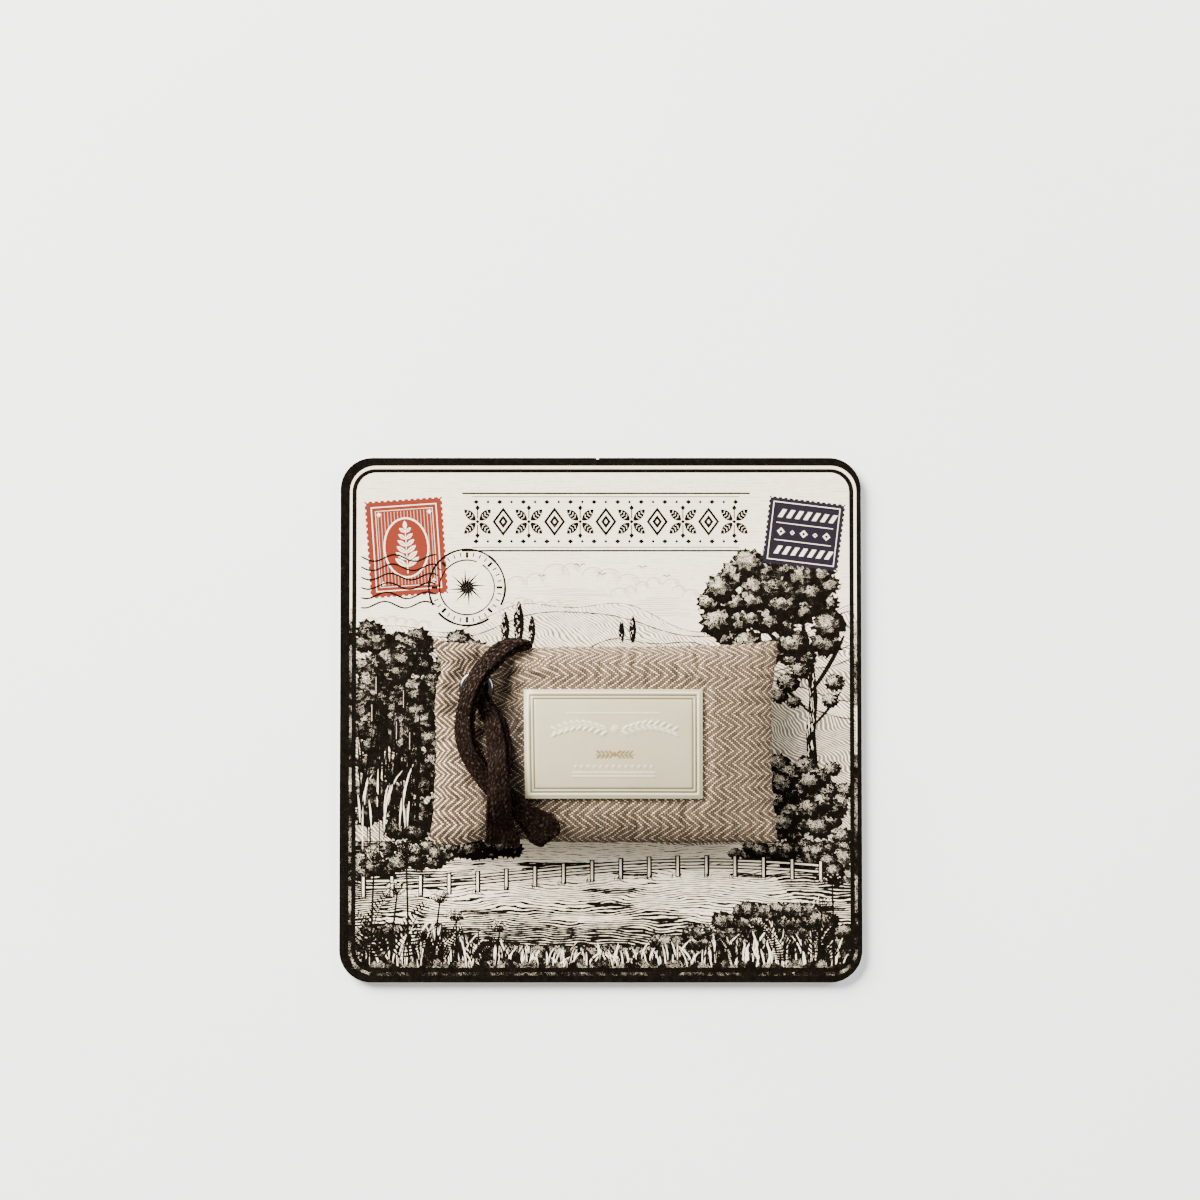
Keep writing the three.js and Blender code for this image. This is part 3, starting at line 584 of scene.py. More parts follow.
def settle(front, back, held_front, held_back):
    """Inflates the sewn cushion as cloth on every fourth line of the grid; returns how far each grid point moves."""
    ci = np.unique(np.concatenate([[0], np.arange(3, NX - 3, 4), [NX - 1]]))
    cj = np.unique(np.concatenate([[0], np.arange(3, NY - 3, 4), [NY - 1]]))
    a, b = len(ci), len(cj)
    pts = np.vstack([front[np.ix_(ci, cj)].reshape(-1, 3), back[np.ix_(ci, cj)].reshape(-1, 3)])
    held = np.concatenate([held_front[np.ix_(ci, cj)].ravel(), held_back[np.ix_(ci, cj)].ravel()])
    one = np.arange(a * b).reshape(a, b)
    two = one + a * b
    rim = np.zeros((a, b), bool)
    rim[0], rim[-1], rim[:, 0], rim[:, -1] = True, True, True, True
    two = np.where(rim, one, two)
    quad = lambda g: np.stack([g[:-1, :-1], g[1:, :-1], g[1:, 1:], g[:-1, 1:]], -1).reshape(-1, 4)
    faces_ = np.vstack([quad(one), quad(two)[:, ::-1]])
    kept = np.unique(faces_)
    new = np.full(len(pts), -1)
    new[kept] = np.arange(len(kept))
    mesh = bpy.data.meshes.new("settling")
    mesh.from_pydata((pts[kept] * MM * 10).tolist(), [], new[faces_].tolist())
    obj = bpy.data.objects.new("settling", mesh)
    bpy.context.scene.collection.objects.link(obj)
    group = obj.vertex_groups.new(name="held")
    for k_, v_ in enumerate(kept):
        group.add([k_], float(held[v_]), "REPLACE")
    mod = obj.modifiers.new("Cloth", "CLOTH")
    c = mod.settings
    c.quality = 6
    c.mass = 0.25
    c.vertex_group_mass = "held"
    c.use_pressure = True
    c.uniform_pressure_force = 4.0
    c.shrink_min = -0.045
    c.bending_stiffness = 0.25
    c.effector_weights.gravity = 0.0
    mod.point_cache.frame_start, mod.point_cache.frame_end = 1, 20
    scene = bpy.context.scene
    for frame_ in range(1, 21):
        scene.frame_set(frame_)
    done = obj.evaluated_get(bpy.context.evaluated_depsgraph_get()).data
    out = np.zeros(len(kept) * 3, np.float32)
    done.vertices.foreach_get("co", out)
    move = np.zeros_like(pts)
    move[kept] = out.reshape(-1, 3) / (MM * 10) - pts[kept]
    scene.frame_set(1)
    bpy.data.objects.remove(obj)
    bpy.data.meshes.remove(mesh)
    result = []
    for g in (one, two):
        m_ = move[g]
        rows_ = np.stack([[np.interp(np.arange(NX), ci, m_[:, q, k_]) for k_ in range(3)] for q in range(b)], -1)
        rows_ = rows_.transpose(1, 2, 0)  # NX, b, 3
        full = np.stack([[np.interp(np.arange(NY), cj, rows_[i, :, k_]) for k_ in range(3)] for i in range(NX)], 0)
        result.append(full.transpose(0, 2, 1))
    return result


front_grid, back_grid = np.stack([OX, OY, ZF], -1), np.stack([OX, OY, ZB], -1)
hold_front = np.maximum(np.maximum(1 - smooth(5.5, 8.5, eye_r), under_label(PX, PY, 3.0)), (lace_near > 0.55) * 1.0)
hold_back = np.maximum(1 - smooth(5.5, 8.5, eye_r), np.maximum((base_back > 3.2) * 1.0, (bell(distance_to(BACK_RUN, PX, PY), 5) > 0.5) * 1.0))
move_front, move_back = settle(front_grid, back_grid, hold_front, hold_back)
CAP = 1.2
for grid_, move_, hold_ in ((front_grid, move_front, hold_front), (back_grid, move_back, hold_back)):
    far = np.linalg.norm(move_, axis=-1, keepdims=True)
    print("cloth moves up to", round(float(far.max()), 2), "mm, on average", round(float(far.mean()), 3))
    free = 1 - np.clip(hold_ * 1.0, 0, 1)
    for _ in range(3):
        free = np.minimum(free, soft(free, 2))
    seam_near = np.minimum(np.minimum(PX - LEFT, RIGHT - PX), np.minimum(PY - BOTTOM, TOP - PY))
    sideways = 0.22 + 0.78 * smooth(0.5, 6.0, seam_near)
    step_ = move_ * np.minimum(1, CAP / np.maximum(far, 1e-9)) * free[..., None]
    step_[..., :2] *= sideways[..., None]
    grid_ += step_
for sl in ((0, slice(None)), (-1, slice(None)), (slice(None), 0), (slice(None), -1)):
    back_grid[sl] = front_grid[sl]
front_points, back_points = front_grid.reshape(-1, 3), back_grid.reshape(-1, 3)
index_front = np.arange(NX * NY).reshape(NX, NY)
index_back = index_front + NX * NY
on_seam = np.zeros((NX, NY), bool)
on_seam[0, :] = on_seam[-1, :] = on_seam[:, 0] = on_seam[:, -1] = True
index_back = np.where(on_seam, index_front, index_back)
ii, jj = np.meshgrid(np.arange(NX - 1), np.arange(NY - 1), indexing="ij")
open_cell = ~((np.abs(ii + 0.5 - eye_i) < HOLE_CELLS) & (np.abs(jj + 0.5 - eye_j) < HOLE_CELLS))


def quads_of(index, flip):
    q = np.stack([index[:-1, :-1], index[1:, :-1], index[1:, 1:], index[:-1, 1:]], -1)[open_cell]
    return q[:, ::-1] if flip else q


ring = []
lo_i, hi_i, lo_j, hi_j = eye_i - HOLE_CELLS, eye_i + HOLE_CELLS, eye_j - HOLE_CELLS, eye_j + HOLE_CELLS
ring += [(i, lo_j) for i in range(lo_i, hi_i)]
ring += [(hi_i, j) for j in range(lo_j, hi_j)]
ring += [(i, hi_j) for i in range(hi_i, lo_i, -1)]
ring += [(lo_i, j) for j in range(hi_j, lo_j, -1)]
wall = []
for k, (i, j) in enumerate(ring):
    i2, j2 = ring[(k + 1) % len(ring)]
    wall.append([index_front[i, j], index_front[i2, j2], index_back[i2, j2], index_back[i, j]][::-1])
all_points = np.vstack([front_points, back_points])
all_faces = np.vstack([quads_of(index_front, False), quads_of(index_back, True), np.array(wall)])
flat = np.vstack([
    np.stack([fx_front.ravel(), fy_front.ravel(), np.zeros(NX * NY)], 1),
    np.stack([fx_back.ravel(), fy_back.ravel(), np.ones(NX * NY)], 1),
])
used = np.zeros(len(all_points), bool)
used[np.unique(all_faces)] = True
remap = np.cumsum(used) - 1
pillow = make_mesh(
    "pillow", all_points[used], remap[all_faces], "sachet",
    ["pillow_front_panel", "pillow_back_panel"],
)
# painted shade: the cloth colour is darkened right of the lace, between its strands, beside the loose ends and along
# the lower rim, where shadow falls
painted_shade = 0.72 * bell(PX + 25.4, 4.4) * smooth(-27, -20, PY) * (1 - smooth(12, 21, PY))
painted_shade = np.maximum(painted_shade, 1.0 * bell(PX + 25.0, 5.6) * smooth(-26, -18, PY) * (1 - smooth(1, 11, PY)))
painted_shade = np.maximum(painted_shade, 0.40 * bell(np.hypot((PX + 27.0) / 1.3, PY - 9.0), 7.0))
painted_shade = np.maximum(painted_shade, 0.95 * bell(np.hypot(PX + 33.9, (PY - 1.4) / 1.2), 3.6))
painted_shade = np.maximum(painted_shade, 0.85 * bell(np.hypot((PX + 32.6) / 0.7, (PY + 5.0) / 2.0), 3.6))
painted_shade = np.maximum(painted_shade, 0.62 * bell(np.hypot((PX + 17.0) / 1.2, PY + 25.5), 8.0))  # beside the loose ends
painted_shade = np.maximum(painted_shade, 1.0 * bell(np.hypot(PX + 23.4, PY + 32.2), 4.0))
painted_rim_shade = 0.41 * smooth(-29.0, -34.2, PY) + 0.52 * smooth(-34.0, -35.3, PY)
painted_shade = np.clip(1 - (1 - painted_shade) * (1 - painted_rim_shade * (0.55 + 0.45 * smooth(-34, -24, PX))), 0, 1)
shade_by = np.concatenate([painted_shade.ravel(), np.zeros(NX * NY)])
# the 'drawn' attribute carries this painted shade into the cloth material
give(pillow, "drawn", shade_by[used], "FLOAT")
give(pillow, "flat", flat[used])

# ---------------------------------------------------------------- label


def superbox(x, y, cx, cy, w, h):
    """Signed distance to a rectangle, negative inside."""
    dx, dy = np.abs(x - cx) - w / 2, np.abs(y - cy) - h / 2
    return np.minimum(np.maximum(dx, dy), 0) + np.hypot(np.maximum(dx, 0), np.maximum(dy, 0))


def emboss(x, y):
    """Raised and sunk lines of the label, as a height in mm, and how far each point is gilt."""
    cx, cy = (LABEL[0] + LABEL[1]) / 2, (LABEL[2] + LABEL[3]) / 2
    w, h = LABEL[1] - LABEL[0], LABEL[3] - LABEL[2]
    inset = np.minimum(w / 2 - np.abs(x - cx), h / 2 - np.abs(y - cy))
    out = 0.20 * bell(inset - 1.15, 0.36)
    out -= 0.16 * bell(inset - 1.85, 0.20)
    out += 0.12 * bell(inset - 2.30, 0.22)
    out -= 0.14 * bell(inset - 2.80, 0.20)
    out += 0.06 * smooth(2.9, 3.3, inset)
    # a garland of leaves above the middle
    X, Y = x - cx - 0.4, y - (cy + 4.0)
    leaf = np.zeros_like(x)
    for side in (-1, 1):
        for k in range(9):
            px = side * (2.6 + 1.75 * k)
            py = 1.5 * math.sin(k * 0.42) - 0.3
            for up in (-1, 1):
                a = math.radians(35) * up * side
                dx, dy = X - (px + side * 0.5), Y - (py + up * 0.85)
                lx, ly = dx * math.cos(a) + dy * math.sin(a), -dx * math.sin(a) + dy * math.cos(a)
                leaf = np.maximum(leaf, np.clip(1 - (lx / 1.15) ** 2 - (ly / 0.42) ** 2, 0, 1) ** 0.5)
        stem = np.abs(Y - (1.5 * np.sin((np.abs(X) - 2.6) / 1.75 * 0.42) - 0.3))
        leaf = np.maximum(leaf, 0.7 * bell(stem, 0.16) * (np.abs(X) < 17.5) * (np.abs(X) > 1.8))
    r = np.hypot(X, Y - 0.1)
    th = np.arctan2(Y - 0.1, X)
    rosette = np.clip(1 - (r / (1.05 + 0.35 * np.cos(8 * th))) ** 2, 0, 1) ** 0.5
    leaf = np.maximum(leaf, rosette)
    out += 0.15 * leaf
    # rules above and below the middle
    for yy, half in ((cy + 8.6, 13.5), (cy - 8.3, 12.0), (cy - 9.3, 12.0)):
        on = bell(y - yy, 0.17) * (1 - smooth(half - 0.5, half, np.abs(x - cx)))
        out += 0.11 * on
    beads = bell(np.hypot((x - cx + 0.9) % 1.8 - 0.9, y - (cy - 6.6)), 0.36) * (np.abs(x - cx) < 11)
    out += 0.12 * beads
    # the gilt sprig
    gx, gy = x - cx - 0.4, y - (cy - 3.2)
    gilt = np.zeros_like(x)
    for side in (-1, 1):
        for k in range(4):
            for up in (-1, 1):
                a = math.radians(38) * up * side
                dx, dy = gx - side * (1.15 + 1.15 * k), gy - up * 0.62
                lx, ly = dx * math.cos(a) + dy * math.sin(a), -dx * math.sin(a) + dy * math.cos(a)
                gilt = np.maximum(gilt, smooth(1.15, 0.85, (lx / 0.78) ** 2 + (ly / 0.30) ** 2))
    gilt = np.maximum(gilt, smooth(0.16, 0.08, np.abs(gy)) * (np.abs(gx) < 5.6))
    gilt = np.maximum(gilt, smooth(1.1, 0.9, (np.abs(gx) + np.abs(gy)) / 0.85))
    out -= 0.05 * gilt
    return out, gilt


LC = 0.24
lx0, lx1, ly0, ly1 = LABEL
nlx, nly = int((lx1 - lx0) / LC) + 1, int((ly1 - ly0) / LC) + 1
rim_cut = np.array([0.0, 0.03, 0.10, 0.2])
lxs = np.concatenate([lx0 + rim_cut, np.linspace(lx0 + 0.4, lx1 - 0.4, nlx), (lx1 - rim_cut)[::-1]])
lys = np.concatenate([ly0 + rim_cut, np.linspace(ly0 + 0.4, ly1 - 0.4, nly), (ly1 - rim_cut)[::-1]])
LX, LY = np.meshgrid(lxs, lys, indexing="ij")
# the real edges are not quite parallel
KX, KY = LX.copy(), LY.copy()
rise, gilt = emboss(LX, LY)
edge = np.minimum(np.minimum(LX - lx0, lx1 - LX), np.minimum(LY - ly0, ly1 - LY))
round_over = 0.12 * (1 - np.sqrt(np.clip(1 - (1 - np.clip(edge / 0.2, 0, 1)) ** 2, 0, 1)))
warp = 0.10 * fractal(LX / 14, LY / 12, 500, 2)
MX, MY = outline(LX, LY)
MX = MX - 0.45 * (lx1 - LX) / (lx1 - lx0) * (LY - ly0) / (ly1 - ly0)
MY = MY - 0.34
base = front_z(LX, LY)
top_z = base + LABEL_LOW + LABEL_T - 0.05 + rise * 1.5 - round_over + np.clip(warp, -0.04, 0.1)
low_z = base + 0.06
n_top = LX.size
label_points = np.vstack([
    np.stack([MX, MY, top_z], -1).reshape(-1, 3), np.stack([MX, MY, low_z], -1).reshape(-1, 3),
])
sx_, sy_ = LX.shape
label_faces = [grid_faces(sx_, sy_), grid_faces(sx_, sy_, n_top, True)]
lid = np.arange(n_top).reshape(sx_, sy_)
loop = np.concatenate([lid[:, 0], lid[-1, 1:], lid[-2::-1, -1], lid[0, -2:0:-1]])
nxt = np.roll(loop, -1)
label_faces.append(np.stack([loop, loop + n_top, nxt + n_top, nxt], 1))
label = make_mesh("label_plate", label_points, np.vstack(label_faces), "sachet", ["label", "label_adhesive"])
inset = np.minimum(np.minimum(LX - lx0, lx1 - LX), np.minimum(LY - ly0, ly1 - LY))
give(label, "relief", np.vstack([
    np.stack([rise.ravel(), gilt.ravel(), inset.ravel()], 1), np.zeros((n_top, 3)),
]))

# ---------------------------------------------------------------- eyelet and washer


def turned(name, profile, segments, replaces, dents=0.0):
    """A closed profile of (radius, height), turned round the eyelet's axis."""
    profile = np.array(profile)
    a = np.linspace(0, 2 * np.pi, segments, endpoint=False)
    count = len(profile)
    r, z = profile[:, 0][None, :], profile[:, 1][None, :]
    r = r + dents * noise(a[:, None] * 2.4, z, 77)
    pts = np.stack([EYE_X + r * np.cos(a)[:, None], EYE_Y + r * np.sin(a)[:, None], z + 0 * a[:, None]], -1).reshape(-1, 3)
    k, m = np.meshgrid(np.arange(segments), np.arange(count), indexing="ij")
    k2, m2 = (k + 1) % segments, (m + 1) % count
    q = np.stack([k * count + m, k2 * count + m, k2 * count + m2, k * count + m2], -1).reshape(-1, 4)
    obj = make_mesh(name, pts, q, "sachet", replaces)
    import bmesh

    bm = bmesh.new()
    bm.from_mesh(obj.data)
    bmesh.ops.recalc_face_normals(bm, faces=bm.faces)
    bm.to_mesh(obj.data)
    bm.free()
    return obj


def rounded(points, radius_steps=6):
    """A closed loop through the points, by closed Catmull-Rom."""
    p = np.array(points, float)
    n = len(p)
    out = []
    for i in range(n):
        a, b, c, d = p[i - 1], p[i], p[(i + 1) % n], p[(i + 2) % n]
        for f in np.linspace(0, 1, radius_steps, endpoint=False):
            out.append(0.5 * (2 * b + (c - a) * f + (2 * a - 5 * b + 4 * c - d) * f * f + (3 * b - a - 3 * c + d) * f**3))
    return out


EYE_TOP, EYE_BOTTOM = SEAM_Z + PANEL, SEAM_Z - PANEL
eyelet = turned(
    "eyelet_ring",
    rounded([
        (2.50, EYE_BOTTOM - 0.9), (2.78, EYE_BOTTOM - 1.42), (3.35, EYE_BOTTOM - 1.46), (3.92, EYE_BOTTOM - 1.15),
        (3.78, EYE_BOTTOM - 1.02), (3.3, EYE_BOTTOM - 1.08), (2.9, EYE_BOTTOM - 0.8), (2.88, EYE_BOTTOM - 0.2), (2.88, EYE_TOP - 0.1),
        (3.0, EYE_TOP + 0.24), (3.6, EYE_TOP + 0.30), (4.6, EYE_TOP + 0.22), (4.95, EYE_TOP + 0.26), (5.0, EYE_TOP + 0.5),
        (4.75, EYE_TOP + 0.86), (4.3, EYE_TOP + 1.08), (3.6, EYE_TOP + 1.20), (3.0, EYE_TOP + 1.08), (2.62, EYE_TOP + 0.72),
        (2.5, EYE_TOP + 0.2),
    ]),
    96, ["eyelet"],
)
washer = turned(
    "eyelet_washer_ring",
    rounded([
        (3.12, EYE_BOTTOM - 0.78), (3.9, EYE_BOTTOM - 0.88), (4.7, EYE_BOTTOM - 0.80), (4.98, EYE_BOTTOM - 0.55),
        (4.9, EYE_BOTTOM - 0.34), (4.4, EYE_BOTTOM - 0.30), (3.7, EYE_BOTTOM - 0.30), (3.12, EYE_BOTTOM - 0.32),
    ]),
    96, ["eyelet_washer"],
)

# ---------------------------------------------------------------- card print
# The printed face is one flat sheet whose upper face is cut along every printed shape, so that the print is as sharp
# as the mesh. The drawing is a plain engraved countryside, with a blank seal, a ring mark and a navy tab.


def rounded_rect(x0, y0, x1, y1, r, n=14):
    pts = []
    for cx, cy, a0 in ((x1 - r, y0 + r, -90), (x1 - r, y1 - r, 0), (x0 + r, y1 - r, 90), (x0 + r, y0 + r, 180)):
        for k in range(n + 1):
            a = math.radians(a0 + 90 * k / n)
            pts.append((cx + r * math.cos(a), cy + r * math.sin(a)))
    return np.array(pts)


rng = np.random.default_rng(20)
# ink: solid black, rust red, navy, then how dark the engraved foliage, furrow and hillside lines are
BLACK, GREY, RED, NAVY, PAPER = (1, 0, 0, 0, 0, 0), (0.55, 0, 0, 0, 0, 0), (0, 1, 0, 0, 0, 0), (0, 0, 1, 0, 0, 0), (0, 0, 0, 0, 0, 0)
leafy = lambda tone: (0, 0, 0, tone, 0, 0)
rows_of = lambda tone: (0, 0, 0, 0, tone, 0)
slope_of = lambda tone: (0, 0, 0, 0, 0, tone)
shapes = []
FIELD = (-72.1, -73.3, 73.5, 73.0)  # inside of the printed border
FIELD_R = 7.2


def outside_field(p):
    cx, cy = (FIELD[0] + FIELD[2]) / 2, (FIELD[1] + FIELD[3]) / 2
    hx, hy = (FIELD[2] - FIELD[0]) / 2 - FIELD_R, (FIELD[3] - FIELD[1]) / 2 - FIELD_R
    dx, dy = np.abs(p[:, 0] - cx) - hx, np.abs(p[:, 1] - cy) - hy
    return np.minimum(np.maximum(dx, dy), 0) + np.hypot(np.maximum(dx, 0), np.maximum(dy, 0)) - FIELD_R


def shape(points, ink, anywhere=False):
    p = np.asarray(points, float)
    if not anywhere:
        if (outside_field(p) > -0.05).any():
            return
        if ((p[:, 0] > -44) & (p[:, 0] < 46) & (p[:, 1] > -31) & (p[:, 1] < 16)).all():
            return
    area = 0.5 * np.sum(p[:, 0] * np.roll(p[:, 1], -1) - np.roll(p[:, 0], -1) * p[:, 1])
    if abs(area) < 0.004:
        return
    shapes.append((p if area > 0 else p[::-1], ink))


def stroke(points, width, ink=BLACK, taper=0.45, **more):
    p = np.asarray(points, float)
    t = np.linspace(0, 1, len(p))
    w = width * 0.5 * np.maximum(0.14, np.sin(np.pi * (0.03 + 0.94 * t)) ** taper)
    d = np.gradient(p, axis=0)
    d /= np.maximum(np.linalg.norm(d, axis=1, keepdims=True), 1e-9)
    n = np.stack([-d[:, 1], d[:, 0]], 1) * w[:, None]
    shape(np.vstack([p + n, (p - n)[::-1]]), ink, **more)


def bar(a, b, width, ink=BLACK, **more):
    a, b = np.array(a, float), np.array(b, float)
    d = (b - a) / np.linalg.norm(b - a)
    n = np.array([-d[1], d[0]]) * width / 2
    shape([a + n, a - n, b - n, b + n], ink, **more)


def blob(x, y, rx, ry, rough=0.16, n=18, ink=BLACK):
    a = np.linspace(0, 2 * np.pi, n, endpoint=False) + rng.uniform(0, 0.3)
    k = 1 + rng.normal(0, rough, n)
    shape(np.stack([x + rx * k * np.cos(a), y + ry * k * np.sin(a)], 1), ink)


def leaf_mark(x, y, angle, size, width, ink, curl=0.35):
    t = np.linspace(-1, 1, 4)
    dx, dy = math.cos(angle), math.sin(angle)
    px = x + dx * t * size / 2 - dy * curl * size * (1 - t * t) * 0.5
    py = y + dy * t * size / 2 + dx * curl * size * (1 - t * t) * 0.5
    stroke(np.stack([px, py], 1), width, ink, 0.7)


def ragged(x, y, rx, ry, ink, n=22, rough=0.2):
    a = np.linspace(0, 2 * np.pi, n, endpoint=False) + rng.uniform(0, 0.3)
    k = 1 + rough * np.where(np.arange(n) % 2 == 0, 0.8, -0.6) + rng.normal(0, rough * 0.5, n)
    shape(np.stack([x + rx * k * np.cos(a), y + ry * k * np.sin(a)], 1), ink)


def clump(x, y, r, deep=0.95, lit=0.28, leaves=11):
    """One mass of foliage: dark below and behind, lighter towards the upper left, leaf marks round its rim."""
    lit = 0.36 + 0.55 * lit
    ragged(x, y, r, r * 0.86, leafy(deep), 24, 0.15)
    ragged(x - 0.16 * r, y + 0.20 * r, r * 0.74, r * 0.58, leafy(0.5 * (deep + lit)), 18, 0.22)
    ragged(x - 0.28 * r, y + 0.36 * r, r * 0.45, r * 0.34, leafy(lit), 14, 0.28)
    for _ in range(int(leaves * r / 3)):
        a = rng.uniform(0, 2 * np.pi)
        q = rng.uniform(0.95, 1.16)
        leaf_mark(x + math.cos(a) * q * r, y + math.sin(a) * q * r * 0.86, a + math.pi / 2 + rng.normal(0, 0.7), rng.uniform(0.7, 1.3), rng.uniform(0.22, 0.42), BLACK)


def ridge(height, x0, x1, step, length, lean, width, ink=BLACK):
    xs_ = np.arange(x0, x1, step)
    for x in xs_:
        y = height(x)
        size = length * rng.uniform(0.45, 1.25)
        t = np.linspace(0, 1, 4)
        stroke(np.stack([x + lean * size * t, y - size * t + 0.12 * size * t * t], 1), width * rng.uniform(0.7, 1.2), ink)
    for a in np.arange(x0, x1, 6.0):
        t = np.linspace(a, min(a + 6.3, x1), 6)
        stroke(np.stack([t, height(t)], 1), width * 1.5, ink)


# clouds, in thin grey lines
for cx, cy, size in ((-8, 39, 1.3), (16, 36, 0.9), (-60, 26, 0.8), (-20, 31, 0.8)):
    for k in range(7):
        px, py = cx + (k - 3) * 4.0 * size + rng.uniform(-1, 1), cy + (3 - abs(k - 3)) * 1.1 * size + rng.uniform(-0.6, 0.6)
        r = rng.uniform(2.0, 3.3) * size
        a = np.radians(np.linspace(200, -15, 9) + rng.uniform(-10, 10))
        stroke(np.stack([px + r * np.cos(a), py + r * 0.8 * np.sin(a)], 1), 0.24, GREY)
        for q in (0.78, 0.6):
            a2 = np.radians(np.linspace(75, -20, 5))
            stroke(np.stack([px + q * r * np.cos(a2), py + q * r * 0.8 * np.sin(a2)], 1), 0.18, GREY)
    for k in range(9):
        y = cy - 1.2 * size - k * 0.62
        a = cx + rng.uniform(-13, -4) * size
        b = cx + rng.uniform(3, 14) * size
        t = np.linspace(a, b, 5)
        stroke(np.stack([t, y + 0.12 * np.sin(t)], 1), 0.17, GREY)

# hills: hatched slopes with a drawn crest, far to near
h1 = lambda x: 29.5 + 4.2 * np.sin(np.asarray(x) / 15.0 + 2.1) + 1.5 * np.sin(np.asarray(x) / 5.3)
h2 = lambda x: 20.0 + 3.0 * np.sin(np.asarray(x) / 11.0 + 0.4) + 1.2 * np.sin(np.asarray(x) / 4.1 + 1)
h3 = lambda x: 8.0 + 3.0 * np.sin(np.asarray(x) / 8.0 + 1.8)
xs_ = np.linspace(FIELD[0] + 0.1, FIELD[2] - 0.1, 90)
for height, drop, ink in ((h1, 40, slope_of(0.20)), (lambda x: h1(x) - 2.8 - 1.5 * np.sin(np.asarray(x) / 6.0), 40, slope_of(0.34)), (h2, 60, slope_of(0.46)),
                          (lambda x: h2(x) - 4.0, 60, slope_of(0.62)), (h3, 50, slope_of(0.40)), (lambda x: h3(x) - 5.0, 45, slope_of(0.66))):
    shape(np.vstack([np.stack([xs_, height(xs_)], 1), [(xs_[-1], float(height(0)) - drop), (xs_[0], float(height(0)) - drop)]]), ink)
    for a in np.arange(-71.8, 72.0, 6.0):
        t = np.linspace(a, min(a + 6.3, 73.2), 6)
        stroke(np.stack([t, height(t)], 1), 0.34 if ink[5] > 0.3 else 0.22, BLACK)

# three slim poplars far off, above the pillow
for x, y, h in ((-27.5, 21.5, 9.5), (-23.6, 22.0, 12.0), (-19.8, 21.8, 8.0), (6.0, 22, 6.5), (9.2, 22, 8.0)):
    t = np.linspace(0, 1, 7)
    w = np.sin(np.pi * np.clip(t * 0.9 + 0.08, 0, 1)) ** 0.7 * h * 0.13
    shape(np.vstack([np.stack([x + w, y + t * h], 1), np.stack([x - w, y + t * h], 1)[::-1]]), BLACK)
    for _ in range(int(7 * h)):
        q = rng.uniform(0.03, 1.0)
        half = math.sin(math.pi * min(1, q * 0.9 + 0.08)) ** 0.7 * h * 0.13
        u = rng.uniform(-1.25, 1.25)
        leaf_mark(x + u * half, y + q * h, math.pi / 2 - 0.5 * u + rng.normal(0, 0.2), rng.uniform(0.5, 0.9), 0.17, PAPER if u < 0.25 and rng.uniform() < 0.7 else BLACK)

# the big tree at the right
trunk = np.array([[62.0, -30], [61.0, -16], [60.4, -4], [61.2, 6], [60.2, 17], [58.2, 27]])
trunk_w = np.array([4.4, 3.2, 2.7, 2.5, 2.2, 1.2])
nrm_ = np.array([[1.0, 0.05]])
shape(np.vstack([trunk + nrm_ * trunk_w[:, None] / 2, (trunk - nrm_ * trunk_w[:, None] / 2)[::-1]]), BLACK)
for k in range(46):
    q = rng.uniform(0, 1)
    y = -28 + 48 * q
    x = np.interp(y, trunk[:, 1], trunk[:, 0])
    w = np.interp(y, trunk[:, 1], trunk_w)
    u = rng.uniform(-0.42, 0.22) * w
    t = np.linspace(0, 1, 4)
    stroke(np.stack([x + u + 0.15 * np.sin(6 * t), y + 2.4 * t], 1), rng.uniform(0.14, 0.26), PAPER)
for a, b, c, w in (((60.6, 8), (66, 15), (70, 24), 1.3), ((60.6, 12), (54, 20), (47, 26), 1.4), ((60, 2), (55, 7), (51, 11), 0.8), ((61, -2), (66, 3), (69, 8), 0.8)):
    t = np.linspace(0, 1, 6)[:, None]
    curve = (1 - t) ** 2 * np.array(a) + 2 * t * (1 - t) * np.array(b) + t * t * np.array(c)
    stroke(curve, w, BLACK, 0.3)
crown = []
for _ in range(400):
    a, q = rng.uniform(0, 2 * np.pi), math.sqrt(rng.uniform(0, 1))
    x, y = 50.5 + 20 * q * math.cos(a), 32 + 15.5 * q * math.sin(a)
    r = rng.uniform(3.0, 5.4)
    if x > 69.0 - 0.3 * r or any(math.hypot(x - u, y - v) < 0.52 * (r + s_) for u, v, s_ in crown):
        continue
    crown.append((x, y, r))
for x, y, r in sorted(crown, key=lambda c: (c[1] - 0.3 * c[0])):
    clump(x, y, r, 0.97 - 0.10 * (y > 38), 0.22 + 0.007 * (x - 35))
for x, y, r in ((54, 10.5, 3.2), (57.5, 14.0, 3.0), (67.4, 10.5, 2.8), (66, 5.5, 2.4), (51.5, 6.5, 2.4), (55.5, 5.0, 2.0)):
    clump(x, y, r)
# shrubs and grass under the tree
for k in range(46):
    x, y = rng.uniform(48.5, 70.2), -9 - 25 * rng.uniform() ** 0.75
    clump(x, y, rng.uniform(2.4, 3.8), 0.96, 0.35, 7)

# field across the foreground, in furrows, darker towards the viewer
edge = lambda x, y0: y0 + 0.9 * np.sin(np.asarray(x) / 17.0 + y0) + 0.4 * np.sin(np.asarray(x) / 4.7)
for y0, tone in ((-35.5, 0.05), (-40.0, 0.09), (-45.5, 0.24), (-50.0, 0.34), (-55.0, 0.58), (-60.0, 0.78)):
    shape(np.vstack([np.stack([xs_, edge(xs_, y0)], 1), [(xs_[-1], -65.9), (xs_[-1] - 2.2, -71.0), (xs_[-1] - 7.0, -73.1), (xs_[0] + 7.0, -73.1), (xs_[0] + 2.2, -71.0), (xs_[0], -65.9)]]), rows_of(tone))
